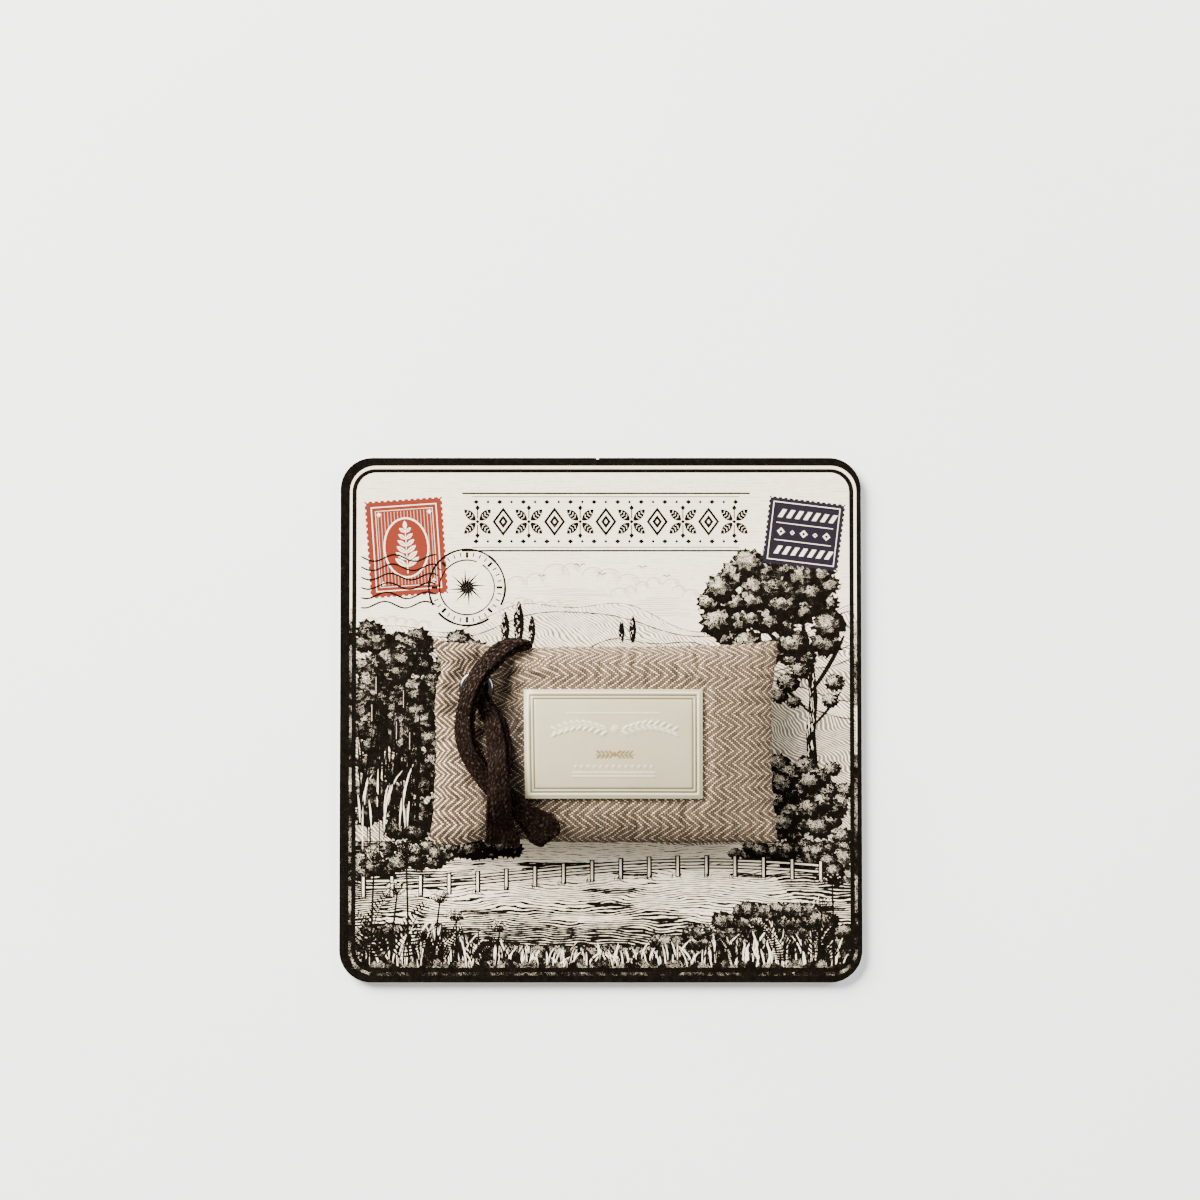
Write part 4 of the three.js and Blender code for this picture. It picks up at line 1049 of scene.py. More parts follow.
# a wooded bank to the left and the right, its shade on the grass below
for side, reach in ((-1, 46.0), (1, 32.0)):
    far = 73.3 if side > 0 else -71.9
    t = np.linspace(0, 1, 24)
    for low, tone, part in ((-60.0, 0.55, 1.0), (-53.0, 0.72, 0.8), (-47.5, 0.86, 0.62)):
        run = reach * part
        xs2 = far - side * run * t
        ys2 = -35.2 + (low + 35.2) * (1 - t**1.7) + 0.8 * np.sin(t * 23 + low)
        shape(np.vstack([np.stack([xs2, ys2], 1), [(xs2[-1], -35.0), (far, -35.0)]]), rows_of(tone))
for k in range(26):  # pale and dark drifts across it
    x, y = rng.uniform(-62, 62), rng.uniform(-64, -39)
    w = rng.uniform(4, 13)
    t = np.linspace(0, 2 * np.pi, 16, endpoint=False)
    shape(np.stack([x + w * np.cos(t), y + (0.5 + 0.03 * w) * np.sin(t) * (1 + 0.3 * np.sin(3 * t))], 1), rows_of(rng.choice([0.12, 0.2, 0.78, 0.9])))
# a hedge line and a post and rail fence
for k in range(44):
    x = -69.5 + k * 3.2 + rng.uniform(-0.8, 0.8)
    if -21 < x < 37:
        continue
    clump(x, -38.0 + rng.uniform(-0.9, 0.9), rng.uniform(1.7, 3.0), 0.97, 0.4, 9)
for k in range(96):
    q = rng.uniform() ** 1.3
    x = -70.4 + 44.0 * q if k % 2 else 71.6 - 30.0 * q
    y = -36.5 - (8.5 if k % 2 else 11.0) * (1 - q) * rng.uniform()
    clump(x, y, rng.uniform(2.0, 3.2), 0.99, 0.42, 5)
fence = lambda x: -47.0 + 3.0 * math.sin(x / 31.0 + 0.6)
post_x = np.arange(-68, 71, 8.2)
for a, b in zip(post_x, post_x[1:]):
    for up in (1.7, 3.5):
        bar((a, fence(a) + up), (b, fence(b) + up + rng.uniform(-0.2, 0.2)), 0.9, PAPER)
        bar((a, fence(a) + up + 0.42), (b, fence(b) + up + 0.42), 0.36)
        bar((a, fence(a) + up - 0.42), (b, fence(b) + up - 0.42), 0.42)
for a in post_x:
    bar((a, fence(a) - 1.2), (a + rng.uniform(-0.2, 0.2), fence(a) + 5.0), 1.5)
    bar((a - 0.12, fence(a) - 0.9), (a - 0.12, fence(a) + 4.7), 0.62, PAPER)
    for _ in range(5):
        leaf_mark(a + rng.uniform(-1.6, 1.6), fence(a) - 0.9, math.pi / 2 + rng.normal(0, 0.4), rng.uniform(1.2, 2.2), 0.22, BLACK)

# near plants: ragged dark ground with pale and dark blades on it
for k in range(64):
    x = -69.0 + k * 2.19 + rng.uniform(-0.9, 0.9)
    depth = 4.5 + 9.0 * float(bell(x + 60, 20)) + 15.0 * float(bell(x - 50, 25))
    for q in range(1 + int(depth / 3.4)):
        clump(x + rng.uniform(-1, 1), -70.3 + q * 3.0 + rng.uniform(-0.4, 0.4), min(3.0, 1.6 + 0.3 * depth), 0.98, 0.5, 5)


def blade(x, y, h, lean, width, ink):
    t = np.linspace(0, 1, 5)
    stroke(np.stack([x + lean * h * t**1.8, y + h * (t - 0.12 * t**3)], 1), width, ink, 0.6)


for k in range(430):
    x = rng.uniform(-69, 70)
    tall = 5.0 + 8.0 * float(bell(x + 54, 22)) + 6.0 * float(bell(x - 52, 20))
    blade(x, rng.uniform(-72.8, -68.5), tall * rng.uniform(0.55, 1.2), rng.normal(0, 0.28), rng.uniform(0.3, 0.6), PAPER if rng.uniform() < 0.42 else BLACK)


def umbel(x, y, top_x, top_y, spread, count):
    t = np.linspace(0, 1, 6)
    stroke(np.stack([x + (top_x - x) * t**1.3, y + (top_y - y) * t], 1), 0.62, BLACK, 0.15)
    for k in range(count):
        a = math.radians(20 + 140 * (k + 0.5) / count + rng.normal(0, 4))
        r = spread * (0.75 + 0.25 * math.sin(a)) * rng.uniform(0.85, 1.1)
        ex, ey = top_x + r * math.cos(a), top_y + r * math.sin(a)
        stroke([(top_x, top_y), ((top_x + ex) / 2, (top_y + ey) / 2 - 0.1), (ex, ey)], 0.32, BLACK, 0.2)
        for _ in range(5):
            leaf_mark(ex + rng.normal(0, 0.42), ey + rng.normal(0, 0.34), rng.uniform(0, 3.1), 0.55, 0.26, BLACK if rng.uniform() < 0.7 else PAPER)


for x, tx, ty, sp in ((-66, -65, -42, 4.2), (-60.5, -58.4, -50.5, 3.6), (-55, -55.8, -39.5, 4.4), (-48, -46.2, -53, 3.4), (-41, -41.5, -58, 3.0), (62, 63.5, -55, 3.6), (67, 66.4, -47.5, 3.2), (-30, -29, -61, 2.8), (30, 31, -62, 2.8), (46, 45, -60.5, 3.0)):
    umbel(x, -72.4, tx, ty, sp, 11)


def frond(x, y, angle, size, pairs, ink=BLACK):
    """A fern: a curved rib with tapering leaflets on both sides."""
    t = np.linspace(0, 1, 8)
    bend = 0.5 * math.copysign(1, math.cos(angle))
    ang = angle - bend * t
    px = x + np.concatenate([[0], np.cumsum(np.cos(ang[:-1]) * size / 7)])
    py = y + np.concatenate([[0], np.cumsum(np.sin(ang[:-1]) * size / 7)])
    stroke(np.stack([px, py], 1), 0.34, ink, 0.2)
    for k in range(pairs):
        f = 0.12 + 0.86 * k / pairs
        a = angle - bend * f
        cx, cy = np.interp(f, t, px), np.interp(f, t, py)
        length_ = size * 0.30 * (1 - 0.85 * f) + 0.5
        for s_ in (-1, 1):
            b = a + s_ * 1.05
            leaf_mark(cx + math.cos(b) * length_ / 2, cy + math.sin(b) * length_ / 2, b, length_, 0.5 + 0.25 * (1 - f), ink, 0.12 * s_)


for x, y, a, s_ in (
    (-62, -70, 1.9, 17), (-58, -70.5, 1.35, 20), (-50, -70.5, 1.0, 15), (-67, -70.5, 1.5, 22), (-44, -70.6, 2.1, 13),
    (55, -70.5, 2.0, 15), (60, -70.5, 1.3, 17), (66, -70.5, 1.8, 13), (-36, -70.6, 1.1, 10), (38, -70.6, 1.9, 10),
):
    frond(x, y, a, s_, 15)

# a dark copse and a bank with tall reeds up the left side
copse = sorted(((rng.uniform(-69.8, -36.0), rng.uniform() ** 0.8) for _ in range(200)), key=lambda c: -c[1])
for x, q in copse:
    top_ = 24.3 + 4.5 * float(bell(x + 64, 9)) + 2.2 * math.sin(x / 2.3)
    clump(x, -34 + (top_ + 31) * q, rng.uniform(2.4, 4.2), 0.99, 0.42 + 0.3 * rng.uniform() + 0.15 * (q < 0.5), 5)
for k in range(30):
    x = rng.uniform(-69.5, -51.5)
    blade(x, rng.uniform(-34, -22), rng.uniform(14, 32), rng.normal(0, 0.10), rng.uniform(0.5, 0.85), BLACK)
for k in range(26):
    x = rng.uniform(-69.5, -51.5)
    blade(x, rng.uniform(-38, -24), rng.uniform(8, 18), rng.normal(0, 0.18), rng.uniform(0.35, 0.6), PAPER if k % 2 == 0 else BLACK)
for x, y0, y1, lean in ((-67, -36, -1, 1.5), (-63.5, -37, 7, -0.8), (-60.2, -36, -6, 1.8), (-57, -37, 3, 0.6), (-53.6, -36, -9, -1.0)):
    t = np.linspace(0, 1, 7)
    stroke(np.stack([x + lean * t**2, y0 + (y1 - y0) * t], 1), 0.36, BLACK, 0.1)
    a = np.linspace(0, 2 * np.pi, 14, endpoint=False)
    shape(np.stack([x + lean + 0.75 * np.cos(a), y1 + 2.9 + 3.3 * np.sign(np.sin(a)) * np.abs(np.sin(a)) ** 0.7], 1), BLACK)
    for q in range(9):
        leaf_mark(x + lean - 0.25, y1 + 0.6 + q * 0.55, math.pi / 2, 0.5, 0.16, PAPER)
    bar((x + lean, y1 + 6.0), (x + lean + 0.1, y1 + 7.8), 0.26)

# birds
for x, y, s_ in ((-6, 44, 1.7), (0.5, 41.5, 1.3), (12, 43.5, 1.5), (19, 41, 1.1), (-17, 41, 1.2)):
    for side in (-1, 1):
        t = np.linspace(0, 1, 5)
        stroke(np.stack([x + side * s_ * t, y + s_ * (0.55 * np.sin(np.pi * t * 0.8) - 0.1 * t)], 1), 0.28, BLACK, 0.5)

# ornament along the top: a band of leaf pairs and lozenges between rules
def lozenge(x, y, rx, ry, ink):
    shape([(x + rx, y), (x, y + ry), (x - rx, y), (x, y - ry)], ink)


def rule(x0, x1, y, w):
    t = np.linspace(x0, x1, 15)
    for a, b in zip(t, t[1:]):
        bar((a, y), (b + 0.02, y), w)


rule(-40, 43, 65.2, 0.5)
rule(-37, 40, 64.2, 0.22)
rule(-40, 43, 48.6, 0.5)
rule(-37, 40, 49.6, 0.22)
for k in range(11):
    x = 1.5 + (k - 5) * 7.4
    if k % 2 == 1:
        for q, ink in ((1.0, BLACK), (0.72, PAPER), (0.46, BLACK), (0.16, PAPER)):
            lozenge(x, 57.0, 3.1 * q, 4.2 * q, ink)
        continue
    for a in (35, 145, 215, 325):
        c, sn = math.cos(math.radians(a)), math.sin(math.radians(a))
        t = np.linspace(0, 1, 9)
        w = 1.15 * np.sin(np.pi * t) ** 0.8
        lx_, ly_ = x + c * (0.5 + 4.3 * t), 57.0 + sn * (0.5 + 5.6 * t)
        nx_, ny_ = -sn, c
        shape(np.vstack([np.stack([lx_ + nx_ * w, ly_ + ny_ * w], 1), np.stack([lx_ - nx_ * w, ly_ - ny_ * w], 1)[::-1]]), BLACK)
        for q in (0.3, 0.5, 0.7):
            bx0, by0 = x + c * (0.5 + 4.3 * q), 57.0 + sn * (0.5 + 5.6 * q)
            bar((bx0, by0), (bx0 + nx_ * 0.7 + c * 0.4, by0 + ny_ * 0.7 + sn * 0.4), 0.17, PAPER)
            bar((bx0, by0), (bx0 - nx_ * 0.7 + c * 0.4, by0 - ny_ * 0.7 + sn * 0.4), 0.17, PAPER)
    for a in (90, 270):
        bar((x, 57.0), (x, 57.0 + 3.2 * math.sin(math.radians(a))), 0.34)
        lozenge(x, 57.0 + 4.0 * math.sin(math.radians(a)), 0.7, 0.9, BLACK)
    lozenge(x, 57.0, 1.0, 1.0, PAPER)
    lozenge(x, 57.0, 0.62, 0.62, BLACK)
for k in range(23):
    lozenge(1.5 + (k - 11) * 3.4, 51.3, 0.5 if k % 2 else 0.85, 0.5 if k % 2 else 0.7, BLACK)
    lozenge(1.5 + (k - 11) * 3.4, 62.7, 0.5 if k % 2 else 0.85, 0.5 if k % 2 else 0.7, BLACK)


def turned_by(points, angle, centre):
    c, s_ = math.cos(math.radians(angle)), math.sin(math.radians(angle))
    p = np.asarray(points, float)
    return np.stack([p[:, 0] * c - p[:, 1] * s_ + centre[0], p[:, 0] * s_ + p[:, 1] * c + centre[1]], 1)


def perforated(w, h, pitch, bite):
    out = []
    for (ax_, ay_), (bx_, by_) in (((-w, -h), (w, -h)), ((w, -h), (w, h)), ((w, h), (-w, h)), ((-w, h), (-w, -h))):
        a, b = np.array([ax_, ay_], float) / 2, np.array([bx_, by_], float) / 2
        size = np.linalg.norm(b - a)
        n = int(round(size / pitch))
        d = (b - a) / size
        inward = np.array([-d[1], d[0]])
        for k in range(n):
            c = a + d * size * (k + 0.5) / n
            out.append(a + d * size * k / n)
            for f in (-1, -0.5, 0.5, 1):
                out.append(c + d * f * bite + inward * bite * math.sqrt(max(0, 1 - f * f)))
    return np.array(out)


# the blank seal: a perforated rust-red rectangle with a sprig
seal_at, seal_turn = (-56.0, 49.5), 4.0
put = lambda pts, ink: shape(turned_by(pts, seal_turn, seal_at), ink)
frame_box = lambda w, h: np.array([(-w / 2, -h / 2), (w / 2, -h / 2), (w / 2, h / 2), (-w / 2, h / 2)])
put(perforated(22.4, 28.0, 1.75, 0.46), RED)
put(frame_box(19.0, 24.6), PAPER)
put(frame_box(18.4, 24.0), RED)
put(frame_box(16.6, 22.2), PAPER)
put(frame_box(16.3, 21.9), RED)
for k in range(-8, 9):  # fine ground lines in the panel
    x = k * 0.95
    put([(x - 0.08, -10.6), (x + 0.08, -10.6), (x + 0.08, 10.6), (x - 0.08, 10.6)], (0, 0.55, 0, 0, 0, 0))
a = np.linspace(0, 2 * np.pi, 30, endpoint=False)
put(np.stack([6.6 * np.cos(a), 8.8 * np.sin(a)], 1), PAPER)
put(np.stack([6.1 * np.cos(a), 8.3 * np.sin(a)], 1), RED)


def put_leaf(x, y, ang, size, width, ink):
    t = np.linspace(0, 1, 6)
    w = width / 2 * np.sin(np.pi * t) ** 0.8
    c, s_ = math.cos(ang), math.sin(ang)
    pts = np.vstack([np.stack([t * size, w], 1), np.stack([t * size, -w], 1)[::-1]])
    put(np.stack([x + pts[:, 0] * c - pts[:, 1] * s_, y + pts[:, 0] * s_ + pts[:, 1] * c], 1), ink)


put([(-0.14, -7.4), (0.14, -7.4), (0.10, 5.6), (-0.10, 5.6)], PAPER)
for k in range(6):
    y = -5.6 + 2.0 * k
    for side in (0, 1):
        ang = math.radians(38) if side == 0 else math.radians(142)
        put_leaf(0, y, ang, 4.4 - 0.45 * k, 1.5 - 0.1 * k, PAPER)
        put_leaf(0.25 if side == 0 else -0.25, y + 0.2, ang, 3.4 - 0.4 * k, 0.22, RED)
put_leaf(0, 5.2, math.pi / 2, 2.6, 1.2, PAPER)
for x in (-7.3, 7.3):
    for y in (-10.0, 10.0):
        put([(x + 0.7, y), (x, y + 0.7), (x - 0.7, y), (x, y - 0.7)], PAPER)

# the ring mark with waved lines over the seal
ring_at = np.array([-38.5, 38.0])
for r, w in ((11.0, 0.62), (7.9, 0.42)):
    for k in range(26):
        a = np.linspace(k, k + 1.02, 3) * 2 * np.pi / 26
        if rng.uniform() < 0.06:
            continue
        p = ring_at + r * np.stack([np.cos(a), np.sin(a)], 1)
        d = w / 2 * rng.uniform(0.75, 1.15)
        shape(np.vstack([ring_at + (r + d) * np.stack([np.cos(a), np.sin(a)], 1), (ring_at + (r - d) * np.stack([np.cos(a), np.sin(a)], 1))[::-1]]), BLACK)
for k in range(32):
    a = k * 2 * np.pi / 32
    r0 = 8.9 if k % 4 else 8.5
    bar(ring_at + r0 * np.array([math.cos(a), math.sin(a)]), ring_at + 10.2 * np.array([math.cos(a), math.sin(a)]), 0.36 if k % 4 else 0.75)
for k in range(16):
    a = k * 2 * np.pi / 16 + 0.1
    tip = ring_at + (5.8 if k % 2 == 0 else 3.6) * np.array([math.cos(a), math.sin(a)])
    for s_, ink in ((1, BLACK), (-1, PAPER)):
        side_ = ring_at + 1.7 * np.array([math.cos(a + s_ * 0.39), math.sin(a + s_ * 0.39)])
        if ink == BLACK:
            shape([ring_at, side_, tip], ink)
for k in range(6):
    y = 33.0 + 2.7 * k
    t = np.linspace(0, 1, 26)
    x = -47.5 - 21.5 * t
    for a, b in ((0, 9), (9, 18), (17, 26)):
        stroke(np.stack([x[a:b + 1], y + 0.95 * np.sin(t[a:b + 1] * 11.5 + 0.3 * k)], 1), 0.5, BLACK, 0.08)

# the navy tab at the upper right, over the tree's edge
tab_at, tab_turn = (58.5, 53.5), -7.0
put = lambda pts, ink: shape(turned_by(pts, tab_turn, tab_at), ink)
put(perforated(22.0, 19.5, 1.55, 0.4), NAVY)
put(frame_box(19.4, 16.9), PAPER)
put(frame_box(18.9, 16.4), NAVY)
for k in range(7):
    x = -8.0 + 2.45 * k
    put([(x, 4.0), (x + 1.25, 4.0), (x + 2.45, 6.4), (x + 1.2, 6.4)], PAPER)
    put([(x, -6.6), (x + 1.25, -6.6), (x + 2.45, -4.2), (x + 1.2, -4.2)], PAPER)
for y, half, w in ((2.4, 8.2, 0.22), (-2.6, 8.2, 0.22)):
    put([(-half, y - w / 2), (half, y - w / 2), (half, y + w / 2), (-half, y + w / 2)], PAPER)
for k in range(5):
    x = (k - 2) * 3.3
    r = 1.15 if k % 2 == 0 else 0.7
    put([(x + r, -0.1), (x, -0.1 + r), (x - r, -0.1), (x, -0.1 - r)], PAPER)
    put([(x + r * 0.45, -0.1), (x, -0.1 + r * 0.45), (x - r * 0.45, -0.1), (x, -0.1 - r * 0.45)], NAVY)


# where the drawing is dark it goes on into the gap of the frame
gap_out, gap_in = rounded_rect(-72.3, -73.5, 73.72, 73.2, 7.4), rounded_rect(-71.4, -72.5, 72.6, 72.1, 6.5)
for k in range(len(gap_out)):
    q = (k + 1) % len(gap_out)
    if max(gap_out[k][1], gap_out[q][1]) < -60:
        shape([gap_out[k], gap_out[q], gap_in[q], gap_in[k]], leafy(0.77 + 0.10 * math.sin(k)), True)
for k in range(28):
    y = -66.1 + 3.5 * k
    shape([(-72.3, y), (-71.4, y), (-71.4, y + 3.5), (-72.3, y + 3.5)], leafy((0.77 + 0.14 * math.sin(1.3 * k)) * float(smooth(29, 25, k))), True)
    if k < 17 or 19 < k < 27:
        shape([(72.6, y), (73.72, y), (73.72, y + 3.5), (72.6, y + 3.5)], leafy((0.79 + 0.13 * math.sin(0.9 * k + 1)) * (float(smooth(18, 14, k)) if k < 18 else 0.86 * float(smooth(28, 25, k)))), True)
# dark ground under the near plants
for k in range(62):
    x, up = -71.0 + 2.3 * k, -69.6 + 0.9 * math.sin(2.1 * k) + 0.5 * math.sin(0.7 * k)
    if x < 70.0:
        shape([(x - 0.4, -71.6), (x + 2.7, -71.6), (x + 2.2, up - 0.9), (x + 1.1, up), (x + 0.1, up - 0.7)], leafy(0.80 + 0.12 * math.sin(1.7 * k)), True)
# a dark leafy patch printed behind the eyelet, as painted shade for what shows through the hole
a = np.linspace(0, 2 * np.pi, 17)[:-1]
shape(np.stack([-35.2 + (4.6 + 0.5 * np.sin(5 * a)) * np.cos(a), 8.4 + (4.6 + 0.5 * np.cos(4 * a)) * np.sin(a)], 1), leafy(0.98), True)

# the thin line of the frame runs over the drawing
line_out, line_in = rounded_rect(-71.6, -72.6, 72.9, 72.25, 6.7), rounded_rect(-70.3, -71.25, 71.6, 71.17, 5.6)
for k in range(len(line_out)):
    q = (k + 1) % len(line_out)
    shape([line_out[k], line_out[q], line_in[q], line_in[k]], BLACK, True)


# body of the printed sheet: a slightly rounded upper edge
card_line = [tuple(p) for p in rounded_rect(-CARD_W / 2, -CARD_H / 2, CARD_W / 2, CARD_H / 2, CARD_R, 20)]
k = next(i for i, p in enumerate(card_line) if p[1] > CARD_H / 2 - 1e-6 and p[0] < 0)
card_line[k:k] = [
    (NICK_X + NICK_W / 2, CARD_H / 2), (NICK_X + NICK_W / 4, CARD_H / 2 - NICK_D),
    (NICK_X - NICK_W / 4, CARD_H / 2 - NICK_D), (NICK_X - NICK_W / 2, CARD_H / 2),
]
n_line = len(card_line)
rings = [(0.0, CARD_T - 0.3), (0.0, CARD_T - 0.07), (0.02, CARD_T - 0.015), (0.07, CARD_T)]
line = np.array(card_line)
tangent = np.roll(line, -1, 0) - np.roll(line, 1, 0)
outward = np.stack([tangent[:, 1], -tangent[:, 0]], 1)
outward /= np.linalg.norm(outward, axis=1, keepdims=True)
sheet_points, sheet_faces, sheet_ink = [], [], []
for inset_, z in rings:
    sheet_points += [(p[0] - q[0] * inset_, p[1] - q[1] * inset_, z) for p, q in zip(line, outward)]
for r in range(len(rings) - 1):
    for i in range(n_line):
        j = (i + 1) % n_line
        sheet_faces.append([r * n_line + i, r * n_line + j, (r + 1) * n_line + j, (r + 1) * n_line + i])
        sheet_ink.append(BLACK)
sheet_faces.append(list(range(n_line))[::-1])
sheet_ink.append(PAPER)
top_start = (len(rings) - 1) * n_line
rim_ring = np.array(sheet_points[top_start:])[:, :2]

frame_lines = [
    (rim_ring, BLACK),
    (rounded_rect(-72.25, -73.44, 73.68, 73.15, 7.4), PAPER),
]
drawn = frame_lines + shapes
verts_in, faces_in = [], []
for pts, _ in drawn:
    base = len(verts_in)
    verts_in += [Vector((float(x), float(y))) for x, y in pts]
    faces_in.append(list(range(base, base + len(pts))))
print("print:", len(drawn), "shapes", len(verts_in), "corners")


def ink_at(middle):
    """The ink at each point: that of the last printed shape that it lies in."""
    inks = np.zeros((len(middle), 6))
    cell = np.floor(middle[:, 0] + 80).astype(int) * 160 + np.floor(middle[:, 1] + 80).astype(int)
    by_cell = np.argsort(cell, kind="stable")
    starts = np.searchsorted(cell[by_cell], np.arange(160 * 160 + 1))
    for pts, ink in drawn:
        lo, hi = np.floor(pts.min(0) + 80).astype(int), np.floor(pts.max(0) + 80).astype(int)
        near = np.concatenate([by_cell[starts[cx * 160 + lo[1]]:starts[cx * 160 + hi[1] + 1]] for cx in range(lo[0], hi[0] + 1)])
        if not len(near):
            continue
        ax_, ay_ = pts[:, 0], pts[:, 1]
        bx_, by_ = np.roll(ax_, -1), np.roll(ay_, -1)
        wind = np.zeros(len(near), int)
        for part in np.array_split(np.arange(len(near)), max(1, len(near) * len(pts) // 2000000 + 1)):
            qx, qy = middle[near[part], 0][:, None], middle[near[part], 1][:, None]
            left_of = (bx_ - ax_) * (qy - ay_) - (qx - ax_) * (by_ - ay_)
            wind[part] = ((ay_ <= qy) & (by_ > qy) & (left_of > 0)).sum(1) - ((ay_ > qy) & (by_ <= qy) & (left_of < 0)).sum(1)
        inks[near[wind != 0]] = ink
    return inks


# first cut: along every shape. Second cut: only where the ink changes, so that nothing hidden stays in the mesh.
cut_v, _, cut_f, cut_from, _, _ = delaunay_2d_cdt(verts_in, [], faces_in, 1, 1e-4, True)
rim_of = {i: min(v for v in from_ if v < n_line) for i, from_ in enumerate(cut_from) if any(v < n_line for v in from_)}
flat_v = np.array([(v[0], v[1]) for v in cut_v])
flat_f = np.array([list(f) for f in cut_f if len(f) == 3])
first = ink_at(flat_v[flat_f].mean(1))
kinds = np.unique(first, axis=0, return_inverse=True)[1].ravel()
pairs = np.sort(np.vstack([flat_f[:, [0, 1]], flat_f[:, [1, 2]], flat_f[:, [2, 0]]]), axis=1)
owner = np.tile(kinds, 3)
line_id, inverse = np.unique(pairs[:, 0] * len(flat_v) + pairs[:, 1], return_inverse=True)
inverse = inverse.ravel()
low_, high_, seen = np.full(len(line_id), 10**9), np.full(len(line_id), -1), np.zeros(len(line_id), int)
np.minimum.at(low_, inverse, owner)
np.maximum.at(high_, inverse, owner)
np.add.at(seen, inverse, 1)
kept = line_id[(low_ != high_) | (seen == 1)]
kept = np.stack([kept // len(flat_v), kept % len(flat_v)], 1)
used_v = np.unique(kept)
renumber = np.full(len(flat_v), -1)
renumber[used_v] = np.arange(len(used_v))
cut_v, _, cut_f, cut_from, _, _ = delaunay_2d_cdt(
    [Vector((float(x), float(y))) for x, y in flat_v[used_v]], [tuple(e) for e in renumber[kept].tolist()], [], 1, 1e-5, True
)
rim_second = {int(renumber[i]): r for i, r in rim_of.items() if renumber[i] >= 0}
extra, where_ = [], {}
for i, from_ in enumerate(cut_from):
    rim = [rim_second[v] for v in from_ if v in rim_second]
    if rim:
        where_[i] = top_start + rim[0]
    else:
        where_[i] = len(sheet_points) + len(extra)
        extra.append((cut_v[i][0], cut_v[i][1], CARD_T))
sheet_points += extra
flat_v = np.array([(v[0], v[1]) for v in cut_v])
flat_f = np.array([list(f) for f in cut_f if len(f) == 3])
side_a, side_b = flat_v[flat_f[:, 1]] - flat_v[flat_f[:, 0]], flat_v[flat_f[:, 2]] - flat_v[flat_f[:, 0]]
flat_f = flat_f[np.abs(side_a[:, 0] * side_b[:, 1] - side_a[:, 1] * side_b[:, 0]) > 1e-9]
face_ink = ink_at(flat_v[flat_f].mean(1))
print("print:", len(flat_v), "points", len(flat_f), "triangles")
sheet_faces += [[where_[i] for i in f] for f in flat_f]
sheet_ink += [tuple(v) for v in face_ink]
card_print = make_mesh("card_print", sheet_points, sheet_faces, "card", ["card_front_sheet"], False)
if len(card_print.data.polygons) != len(sheet_ink):
    raise RuntimeError("the printed sheet lost faces")
give(card_print, "ink", np.array(sheet_ink)[:, :3], "FLOAT_VECTOR", "FACE")
give(card_print, "hatch", np.array(sheet_ink)[:, 3:], "FLOAT_VECTOR", "FACE")

# ---------------------------------------------------------------- materials


def lin(r, g, b):
    f = lambda c: (c / 255) / 12.92 if c / 255 <= 0.04045 else ((c / 255 + 0.055) / 1.055) ** 2.4
    return (f(r), f(g), f(b), 1.0)


